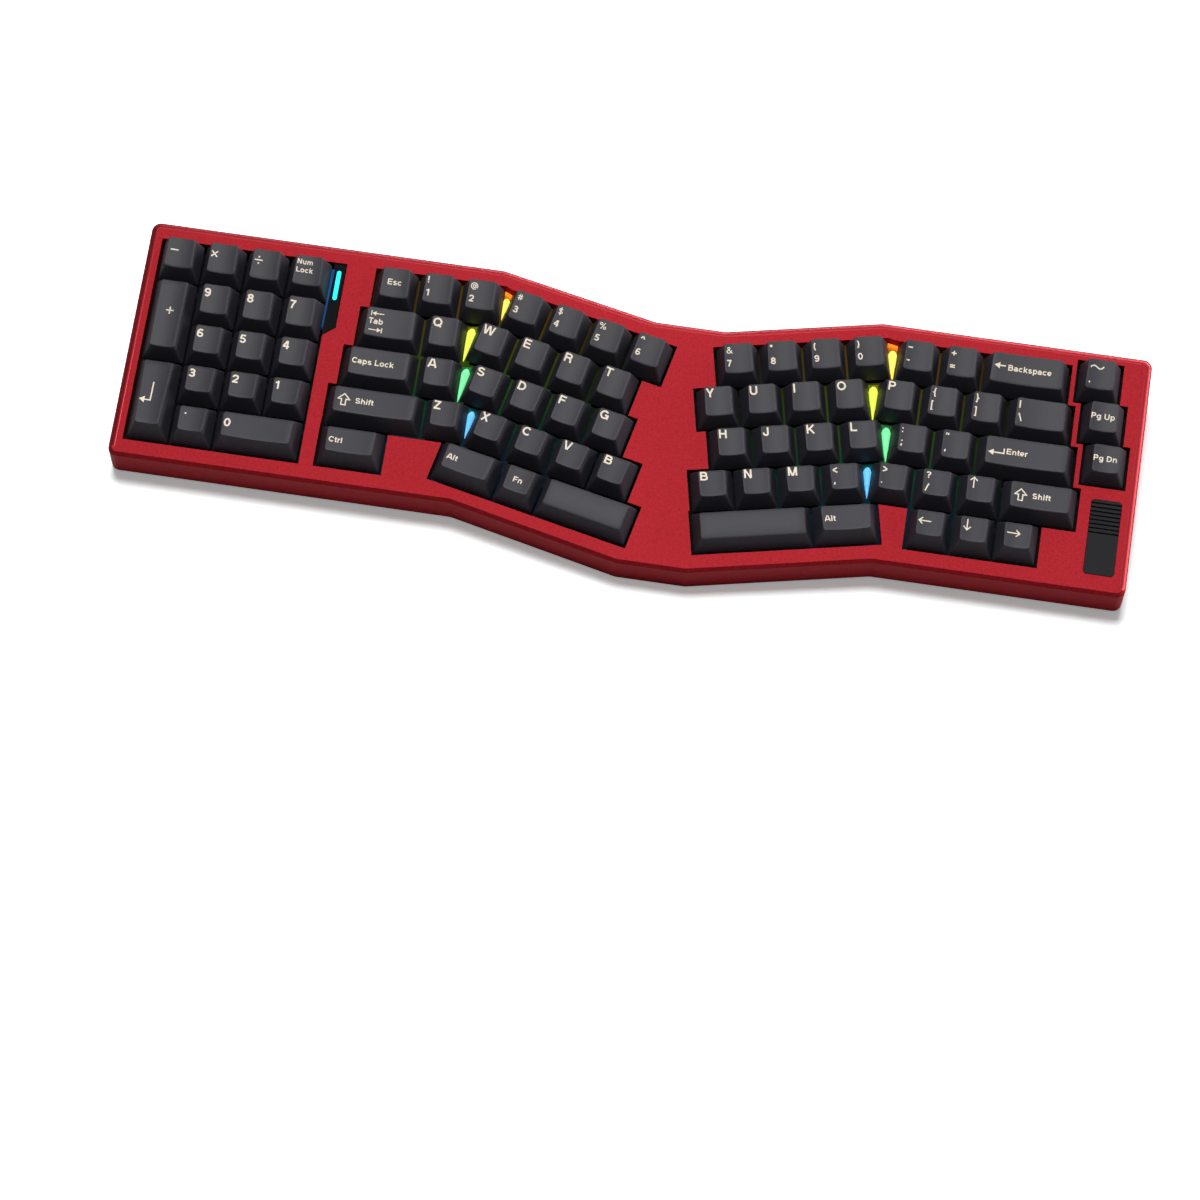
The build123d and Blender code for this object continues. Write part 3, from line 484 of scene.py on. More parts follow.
# Moulded nylon of the switch housings: dull black, a shade lighter than the plate around it
NYLON = Surface(
    "black_nylon", "19191b", "131315", roughness=0.6, grain=0.4, grain_height=0.006, patch=6.0,
    patch_share=0.3, gloss_spread=0.05, level=0.06,
)
# Smoked polycarbonate of the indicator's cover: near black, and hardly reflecting
SMOKED_PC = Surface(
    "smoked_polycarbonate", "08090d", "050609", roughness=0.45, grain=2.0, grain_height=0.003,
    patch=10.0, patch_share=0.3, gloss_spread=0.03, level=0.03,
)
# Circuit board under black solder mask: satin, with a trace of the green below it
SOLDER_MASK = Surface(
    "black_solder_mask", "14201c", "0f1814", roughness=0.45, grain=0.8, grain_height=0.008,
    patch=12.0, patch_share=0.4, level=0.2,
)
# Closed-cell foam sheet: matt grey, pitted by its cells of about 0.6 mm
FOAM = Surface(
    "grey_polyurethane_foam", "2b2b2d", "202022", roughness=0.85, grain=0.6, grain_height=0.08,
    patch=10.0, patch_share=0.4, gloss_spread=0.05,
)
# Drawn stainless steel of the connector's shell: bright and smooth
STAINLESS = Surface(
    "drawn_stainless_steel", "b9b9bd", "9c9ca1", roughness=0.3, metallic=1.0, grain=0.3,
    grain_height=0.003, patch=5.0, patch_share=0.4,
)
# Black oxide on the case screws: dark grey with a metal's gleam
BLACK_OXIDE = Surface(
    "black_oxide_steel", "2e2e31", "222225", roughness=0.42, metallic=0.9, grain=0.3,
    grain_height=0.004, patch=4.0, patch_share=0.4,
)
# Acrylic over the indicator's lamp: an even cyan, the brightest spot
LAMP_CYAN = LitAcrylic("cyan_lit_acrylic", "00e6ee", "3ffcff", strength=1.0)
# The cover's edge, which the same lamp lights from afar: a dim blue that changes along its length
LAMP_BLUE = LitAcrylic("blue_lit_acrylic", "06568e", "08305c", strength=0.4, streak=9.0)
# Acrylic of the two blocks behind the wedges: a warm, even orange
LAMP_ORANGE = LitAcrylic("orange_lit_acrylic", "e86a10", "ff8a1e", strength=0.8)
# Uncoated white paper under the keyboard: a fibre of 0.8 mm gives it the faintest mottle
PAPER = OverexposedPaper("white_paper_sweep")


class SplitLight(Enum):
    """The lights of one split, from the rear to the front: two colours of the ridge, two of the foot."""

    YELLOW = ("ffe24a", "fff27a", "8a5a10", "b07818")
    LIME = ("d4f23c", "ecff66", "4f5a14", "6b7a1c")
    GREEN = ("5fe08a", "8af5a8", "1d5a34", "2c7a48")
    BLUE = ("4aa8ea", "7cc8ff", "12344c", "1c4c6c")

    def ridge(self) -> LitAcrylic:
        """The finish of the bright ridge."""
        return LitAcrylic(self.name.lower() + "_ridge_acrylic", *self.value[:2], strength=0.85)

    def foot(self) -> LitAcrylic:
        """The finish of the dim foot around it."""
        return LitAcrylic(self.name.lower() + "_foot_acrylic", *self.value[2:], strength=0.35)


@dataclass(frozen=True)
class Deck:
    """Where the deck lies on the desk: tipped up at the rear, as it stands on its feet."""

    typing_angle: float = 7.0
    origin: tuple[float, float, float] = (-216.45, 53.4967, 33.6435)

    def place(self, points: np.ndarray) -> np.ndarray:
        """Turns points about the X axis by the typing angle, then moves them.

        Args:
            points: Rows of X, Y, Z in the deck's frame, in millimetres.

        Returns:
            The same points on the desk, in metres.
        """
        turn = math.radians(self.typing_angle)
        y = points[:, 1] * math.cos(turn) - points[:, 2] * math.sin(turn)
        z = points[:, 1] * math.sin(turn) + points[:, 2] * math.cos(turn)
        return (np.stack([points[:, 0], y, z], axis=1) + np.array(self.origin)) * MM

    def flat(self, points: np.ndarray) -> np.ndarray:
        """Takes points back from the desk to the deck: the same move and turn, undone.

        Args:
            points: X, Y, Z on the desk along the last axis, in metres.

        Returns:
            The same points in the deck's frame, in millimetres.
        """
        turn = math.radians(self.typing_angle)
        x, y, z = np.moveaxis(points / MM - np.array(self.origin), -1, 0)
        along = y * math.cos(turn) + z * math.sin(turn)
        height = z * math.cos(turn) - y * math.sin(turn)
        return np.stack([x, along, height], axis=-1)


DECK = Deck()


class Block(Enum):
    """A block of keys: where its frame's origin lies in the deck, and how far it is turned."""

    STRAIGHT = (0.0, 0.0, 0.0)
    LEFT = (8.0 * PITCH, -0.5, -12.0)
    RIGHT = (17.0 * PITCH, 1.0, 12.0)
    COLUMN = (0.0, 3.1, 0.0)

    def place(self, points: np.ndarray) -> np.ndarray:
        """Turns points in the deck's plane by the block's angle, then moves them.

        Args:
            points: Rows of X, Y, Z in the block's frame.

        Returns:
            The same points in the deck's frame.
        """
        x, y, angle = self.value
        turn = math.radians(angle)
        along = points[:, 0] * math.cos(turn) - points[:, 1] * math.sin(turn) + x
        across = points[:, 0] * math.sin(turn) + points[:, 1] * math.cos(turn) + y
        return np.stack([along, across, points[:, 2]], axis=1)


class Shells:
    """Gathers closed shells, each with the number of its finish, into one mesh."""

    def __init__(self) -> None:
        """Starts without any shell."""
        self.points: list[np.ndarray] = []
        self.faces: list[list[int]] = []
        self.finish: list[int] = []
        self.count = 0

    def add(self, points: np.ndarray, faces: Iterable[Sequence[int]], finish: int = 0) -> None:
        """Adds a shell.

        Args:
            points: Its vertices, in the deck's frame.
            faces: Vertex numbers within the shell, outwards by the right-hand rule.
            finish: Which of the piece's finishes it wears.
        """
        new = [[int(i) + self.count for i in face] for face in faces]
        self.points.append(points)
        self.faces += new
        self.finish += [finish] * len(new)
        self.count += len(points)

    def piece(
        self,
        name: str,
        body: str,
        slot: str,
        finishes: Sequence[Finish],
        replaces: Sequence[str] = (),
        sharp: float = 35.0,
    ) -> bpy.types.Object:
        """Makes the piece.

        Args:
            name: The piece's name.
            body: The body that it moves with.
            slot: The material slot of the record; not used.
            finishes: The finishes that the shells' numbers refer to.
            replaces: The solids that it stands for.
            sharp: Edges that turn by more than this many degrees stay crisp.

        Returns:
            The new object, at the origin.
        """
        mesh = bpy.data.meshes.new(name)
        mesh.from_pydata(DECK.place(np.concatenate(self.points)).tolist(), [], self.faces)
        for finish in finishes:
            mesh.materials.append(finish.material())
        mesh.polygons.foreach_set("material_index", self.finish)
        mesh.polygons.foreach_set("use_smooth", [True] * len(self.faces))
        mesh.set_sharp_from_angle(angle=math.radians(sharp))
        mesh.update()
        made = add_object(name, mesh)
        settle(made, body, replaces)
        return made


def add_object(name: str, data: bpy.types.ID) -> bpy.types.Object:
    """Makes an object of a mesh, a lamp or a camera, and puts it in the scene.

    Args:
        name: The object's name.
        data: What it shows.

    Returns:
        The object, at the origin.
    """
    made = bpy.data.objects.new(name, data)
    bpy.context.scene.collection.objects.link(made)
    return made


def settle(piece: bpy.types.Object, body: str, replaces: Sequence[str] = ()) -> None:
    """Lets a finished piece ride on its body and reports it.

    Args:
        piece: The object.
        body: The body that it moves with.
        replaces: The solids that it stands for.
    """
    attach(piece, body)
    if replaces:
        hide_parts(*replaces)
    log.info("%s rides on %s, %d faces", piece.name, body, len(piece.data.polygons))


def ring_faces(rings: int, around: int, first: int = 0) -> list[list[int]]:
    """Quads between rings that each have the same number of points.

    Args:
        rings: How many rings there are.
        around: How many points each ring has.
        first: The number of the first ring's first point.

    Returns:
        Quads that face outwards where the rings run anticlockwise, seen from where they lead.
    """
    i, j = np.meshgrid(np.arange(rings - 1), np.arange(around), indexing="ij")
    low = first + i * around
    k = (j + 1) % around
    quads = np.stack([low + j, low + k, low + around + k, low + around + j], axis=-1)
    return quads.reshape(-1, 4).tolist()


def capped(rings: int, around: int) -> list[list[int]]:
    """Quads between rings, and a face over the first ring and over the last.

    Args:
        rings: How many rings there are.
        around: How many points each ring has.

    Returns:
        The faces of a closed shell.
    """
    last = (rings - 1) * around
    return ring_faces(rings, around) + [list(range(around - 1, -1, -1)), list(range(last, last + around))]


def fan(pole: int, first: int, around: int, forward: bool) -> list[list[int]]:
    """Triangles from a pole to a ring.

    Args:
        pole: The pole's number.
        first: The ring's first point.
        around: How many points the ring has.
        forward: Whether the triangles run the way the ring does.

    Returns:
        The triangles.
    """
    j = np.arange(around)
    a, b = first + j, first + (j + 1) % around
    order = (a, b) if forward else (b, a)
    return np.stack([order[0], order[1], np.full(around, pole)], axis=1).tolist()


def prism(outline: np.ndarray, bottom: float, top: float) -> Shell:
    """A flat outline made solid: the outline at the bottom, again at the top, and both caps.

    Args:
        outline: Rows of X, Y, anticlockwise.
        bottom: Height of the bottom.
        top: Height of the top.

    Returns:
        Points and faces of a closed shell.
    """
    n = len(outline)
    low = np.column_stack([outline, np.full(n, bottom)])
    high = np.column_stack([outline, np.full(n, top)])
    return np.concatenate([low, high]), capped(2, n)


def block(size: Sequence[float], middle: Sequence[float]) -> Shell:
    """A box: a prism on a rectangle.

    Args:
        size: Its sizes along X, Y and Z.
        middle: Where its middle lies.

    Returns:
        Points and faces of a closed shell.
    """
    x, y = size[0] / 2, size[1] / 2
    outline = np.array([[-x, -y], [x, -y], [x, y], [-x, y]]) + np.array(middle[:2])
    return prism(outline, middle[2] - size[2] / 2, middle[2] + size[2] / 2)


@dataclass(frozen=True)
class CapRow:
    """Side view of one row's caps: height at the middle, lean, and how far each side draws in."""

    height: float
    lean: float
    rear: float
    front: float
    side: float


# From the rear row to the front one
CAP_ROWS = (
    CapRow(9.1, 5.0, 1.1, 3.5, 2.75),
    CapRow(8.4, 2.5, 1.5, 3.1, 2.95),
    CapRow(8.1, -1.5, 2.0, 3.0, 3.1),
    CapRow(8.4, -5.0, 2.55, 3.2, 3.1),
    CapRow(8.4, -5.5, 2.75, 3.4, 3.15),
)


@dataclass(frozen=True)
class Cap:
    """One keycap: a hollow moulding with drawn-in sides, round corners and a dished top.

    Width and depth are in units of the key spacing, and the other sizes in millimetres. A corner
    inside is smaller by a share of the wall. The last fields say how finely the surface is drawn:
    points on a corner, steps along a side for each unit across and along, the turns of the edge's
    quarter round, the rings that lead to the top's middle, and the rounds in which the rim settles.
    """

    width: float
    depth: float
    row: CapRow
    crowned: bool = False
    gap: float = 0.95
    wall: float = 1.4
    roof: float = 2.2
    base_corner: float = 0.9
    top_corner: float = 1.25
    corner_lost_in_wall: float = 0.4
    edge: float = 0.28
    dish: float = 0.6
    crown_radius: float = 42.0
    corner_points: int = 6
    side_steps: tuple[int, int] = (4, 2)
    edge_turns: tuple[float, ...] = (0.0, 30.0, 60.0, 90.0)
    top_rings: tuple[float, ...] = (0.85, 0.6, 0.3)
    rim_rounds: int = 4

    @property
    def base(self) -> tuple[float, float]:
        """Width and depth of the skirt."""
        return (self.width * PITCH - self.gap, self.depth * PITCH - self.gap)

    @property
    def middle_y(self) -> float:
        """How far the top's middle lies behind the skirt's."""
        return (self.row.front - self.row.rear) / 2

    def top(self, x: np.ndarray, y: np.ndarray) -> np.ndarray:
        """Height of the top surface.

        A dished top is a plane that leans by the row's angle, hollowed by a circle's arc across X:
        the arc's radius follows from its chord and its depth. A crowned top falls away from its
        middle line by half the square of the distance over the radius.

        Args:
            x: Places across the cap.
            y: Places along the cap.

        Returns:
            Heights above the skirt.
        """
        along = y - self.middle_y
        if self.crowned:
            return self.row.height - along**2 / (2 * self.crown_radius)
        half_chord = self.base[0] / 2 - self.row.side
        radius = (half_chord**2 + self.dish**2) / (2 * self.dish)
        hollow = radius - np.sqrt(radius**2 - x**2)
        return self.row.height + along * math.tan(math.radians(self.row.lean)) + hollow

    def ring_pattern(self) -> np.ndarray:
        """One turn round a rounded rectangle: corner signs and outward direction of each point.

        Corners run through a quarter circle each, and the sides between them are divided evenly.

        Returns:
            Rows of corner sign X, corner sign Y, direction X, direction Y.
        """
        steps = [round(size * each) for size, each in zip((self.width, self.depth), self.side_steps)]
        corners = np.array([[1, 1], [-1, 1], [-1, -1], [1, -1]], float)
        pieces = []
        for k in range(4):
            turn = np.radians(np.linspace(0, 90, self.corner_points) + 90 * k)
            side = np.linspace(0, 1, steps[k % 2] + 1)[1:-1, None]
            way = corners[(k + 1) % 4] - corners[k]
            here = np.tile(corners[k], (len(turn), 1))
            signs = np.concatenate([here, corners[k] + way * side])
            turn = np.append(turn, np.full(len(side), turn[-1]))
            pieces.append(np.column_stack([signs, np.cos(turn), np.sin(turn)]))
        return np.concatenate(pieces)

    def outline(self, share: np.ndarray, inset: float, wall: float = 0.0) -> np.ndarray:
        """The cap's outline at a share of its height, drawn in by an inset.

        Half the width and half the depth shrink with the share, and the corners grow.

        Args:
            share: Height over the row's height, one for each point of the ring.
            inset: How far inside the side surface, in millimetres.
            wall: How far inside the skirt the surface starts.

        Returns:
            Rows of X, Y.
        """
        pattern = self.ring_pattern()
        half_x = self.base[0] / 2 - wall - self.row.side * share - inset
        half_y = self.base[1] / 2 - wall - (self.row.rear + self.row.front) / 2 * share - inset
        corner = self.base_corner + (self.top_corner - self.base_corner) * share
        corner = corner - inset - wall * self.corner_lost_in_wall
        x = pattern[:, 0] * (half_x - corner) + pattern[:, 2] * corner
        y = pattern[:, 1] * (half_y - corner) + pattern[:, 3] * corner + self.middle_y * share
        return np.column_stack([x, y])

    def rim(self, drop: float, inset: float) -> np.ndarray:
        """A ring near the top edge: drop below the top surface and inset inside the side.

        The share of the height and the height itself settle on each other in a few rounds.

        Args:
            drop: Distance below the top surface.
            inset: Distance inside the side surface.

        Returns:
            Rows of X, Y, Z.
        """
        share = np.ones(len(self.ring_pattern()))
        flat = self.outline(share, inset)
        for _ in range(self.rim_rounds):
            height = self.top(flat[:, 0], flat[:, 1]) - drop
            share = height / self.row.height
            flat = self.outline(share, inset)
        return np.column_stack([flat, self.top(flat[:, 0], flat[:, 1]) - drop])

    def shell(self) -> Shell:
        """The whole cap as one closed surface.

        It starts at the middle of the ceiling inside, runs down the inner wall, round the skirt,
        up the outer wall, over the edge's quarter round and across the top to its middle.

        Returns:
            Points and faces, on the skirt at Z = 0.
        """
        ceiling = self.row.height - self.roof
        zero = np.zeros(len(self.ring_pattern()))
        inner_top = self.outline(zero + ceiling / self.row.height, 0.0, self.wall)
        inner_low = self.outline(zero, 0.0, self.wall)
        outer_low = self.outline(zero, 0.0)
        rings = [
            np.column_stack([inner_top, zero + ceiling]),
            np.column_stack([inner_low, zero]),
            np.column_stack([outer_low, zero]),
        ]
        for angle in self.edge_turns:
            turn = math.radians(angle)
            rings.append(self.rim(self.edge * (1 - math.sin(turn)), self.edge * (1 - math.cos(turn))))
        last = rings[-1]
        for share in self.top_rings:
            x = last[:, 0] * share
            y = self.middle_y + (last[:, 1] - self.middle_y) * share
            rings.append(np.column_stack([x, y, self.top(x, y)]))
        around = len(zero)
        start = np.array([[0.0, self.middle_y * ceiling / self.row.height, ceiling]])
        end = np.array([[0.0, self.middle_y, self.top(np.zeros(1), np.full(1, self.middle_y))[0]]])
        points = np.concatenate([start, *rings, end])
        faces = fan(0, 1, around, False)
        faces += ring_faces(len(rings), around, 1)
        faces += fan(len(points) - 1, 1 + (len(rings) - 1) * around, around, True)
        return points, faces


class Legend(Enum):
    """How a cap is lettered, how high its capitals are, and how far its line lies from the middle."""

    BARE = ("nothing", 0.0, 0.0)
    LETTER = ("a large letter near the rear left corner", 4.1, 1.75)
    DIGIT = ("a large digit at the left", 4.0, 0.7)
    LOW_DIGIT = ("a large digit at the left, lower down", 4.1, -1.1)
    PAIR = ("one small sign above another", 3.1, 2.0)
    WORD = ("a word at the left", 2.65, -1.25)
    CENTRE = ("a word in the middle", 2.65, -1.2)
    LINES = ("two short words, one under the other", 2.35, 2.5)
    DRAWN = ("a drawn sign, with a word beside some", 2.65, -1.1)


@dataclass(frozen=True)
class Key:
    """One key: the body that it moves with, its size in units, and its lettering."""

    body: str
    width: float = 1.0
    text: str = ""
    legend: Legend = Legend.BARE
    depth: float = 1.0


@dataclass(frozen=True)
class Row:
    """One row of keys: its block, its line from the rear, its left edge in units, and its keys."""

    block: Block
    line: int
    start: float
    keys: tuple[Key, ...]


def letters(body: str, text: str, legend: Legend = Legend.LETTER) -> tuple[Key, ...]:
    """Keys with one large sign each, all on one body."""
    return tuple(Key(body, 1.0, sign, legend) for sign in text)


def pairs(body: str, text: str) -> tuple[Key, ...]:
    """Keys with two small signs each, written one pair after another, all on one body."""
    return tuple(Key(body, 1.0, text[i : i + 2], Legend.PAIR) for i in range(0, len(text), 2))


def drawn(body: str, sign: str, width: float = 1.0) -> Key:
    """A key with a drawn sign."""
    return Key(body, width, sign, Legend.DRAWN)


# Each group runs from the rear to the front
NUMPAD_ROWS = (
    Row(Block.STRAIGHT, 0, 0.0, (
        drawn("key_numpad_minus", "minus"), drawn("keys_numpad_operators", "times"),
        drawn("keys_numpad_operators", "divide"),
        Key("keys_numpad_operators", 1.0, "Num|Lock", Legend.LINES))),
    Row(Block.STRAIGHT, 1, 1.0, letters("keys_numpad_digits", "987", Legend.DIGIT)),
    Row(Block.STRAIGHT, 2, 1.0, letters("keys_numpad_digits", "654", Legend.DIGIT)),
    Row(Block.STRAIGHT, 3, 1.0, letters("keys_numpad_digits", "321", Legend.DIGIT)),
    Row(Block.STRAIGHT, 4, 1.0, (
        drawn("key_numpad_point", "point"), Key("key_numpad_zero", 2.0, "0", Legend.LOW_DIGIT))),
)
LEFT_ROWS = (
    Row(Block.STRAIGHT, 0, 5.04, (
        Key("key_escape", 1.0, "Esc", Legend.CENTRE), *pairs("keys_1_to_6", "!1@2"))),
    Row(Block.STRAIGHT, 1, 4.83, (drawn("key_tab", "tab", 1.5), *letters("keys_q_to_t", "Q"))),
    Row(Block.STRAIGHT, 2, 4.61, (
        Key("key_caps_lock", 1.75, "Caps Lock", Legend.WORD), *letters("keys_a_to_g", "A"))),
    Row(Block.STRAIGHT, 3, 4.42, (drawn("key_left_shift", "shift", 2.25), *letters("keys_z_to_b", "Z"))),
    Row(Block.STRAIGHT, 4, 4.41, (Key("key_left_control", 1.5, "Ctrl", Legend.WORD),)),
)
LEFT_TURNED_ROWS = (
    Row(Block.LEFT, 0, 0.22, pairs("keys_1_to_6", "#3$4%5^6")),
    Row(Block.LEFT, 1, -0.24, letters("keys_q_to_t", "WERT")),
    Row(Block.LEFT, 2, 0.0, letters("keys_a_to_g", "SDFG")),
    Row(Block.LEFT, 3, 0.49, letters("keys_z_to_b", "XCVB")),
    Row(Block.LEFT, 4, 0.08, (
        Key("key_left_alt", 1.5, "Alt", Legend.WORD), Key("key_function", 1.0, "Fn", Legend.CENTRE),
        Key("key_left_space", 2.25))),
)
RIGHT_TURNED_ROWS = (
    Row(Block.RIGHT, 0, -4.05, pairs("keys_7_to_equals", "&7*8(9)0")),
    Row(Block.RIGHT, 1, -4.58, letters("keys_y_to_bracket", "YUIO")),
    Row(Block.RIGHT, 2, -4.36, letters("keys_h_to_quote", "HJKL")),
    Row(Block.RIGHT, 3, -4.86, (*letters("keys_n_to_slash", "BNM"), *pairs("keys_n_to_slash", "<,"))),
    Row(Block.RIGHT, 4, -4.89, (
        Key("key_right_space", 2.75), Key("key_right_alt", 1.5, "Alt", Legend.WORD))),
)
RIGHT_ROWS = (
    Row(Block.STRAIGHT, 0, 17.2, (
        *pairs("keys_7_to_equals", "_-+="), drawn("key_backspace", "backspace", 2.0))),
    Row(Block.STRAIGHT, 1, 16.88, (
        *letters("keys_y_to_bracket", "P"), *pairs("keys_y_to_bracket", "{[}]"),
        Key("key_backslash", 1.5, "|\\", Legend.PAIR))),
    Row(Block.STRAIGHT, 2, 17.3, (*pairs("keys_h_to_quote", ":;\"'"), drawn("key_enter", "enter", 2.25))),
    Row(Block.STRAIGHT, 3, 16.985, (
        *pairs("keys_n_to_slash", ">.?/"), drawn("key_arrow_up", "up"),
        drawn("key_right_shift", "shift", 1.75))),
    Row(Block.STRAIGHT, 4, 17.96, (
        drawn("key_arrow_left", "left"), drawn("key_arrow_down", "down"),
        drawn("key_arrow_right", "right"))),
)
COLUMN_ROWS = (
    Row(Block.COLUMN, 0, 21.38, (Key("key_tilde", 1.0, "~`", Legend.PAIR),)),
    Row(Block.COLUMN, 1, 21.57, (Key("key_page_up", 1.0, "Pg Up", Legend.CENTRE),)),
    Row(Block.COLUMN, 2, 21.735, (Key("key_page_down", 1.0, "Pg Dn", Legend.CENTRE),)),
)
ROWS = (
    *NUMPAD_ROWS, *LEFT_ROWS, *LEFT_TURNED_ROWS, *RIGHT_TURNED_ROWS, *RIGHT_ROWS, *COLUMN_ROWS,
)
# The two tall keys of the numpad, each with the line of its rear half
TALL_KEYS = (
    (Key("key_numpad_plus", 1.0, "plus", Legend.DRAWN, 2.0), 1),
    (Key("key_numpad_enter", 1.0, "return", Legend.DRAWN, 2.0), 3),
)


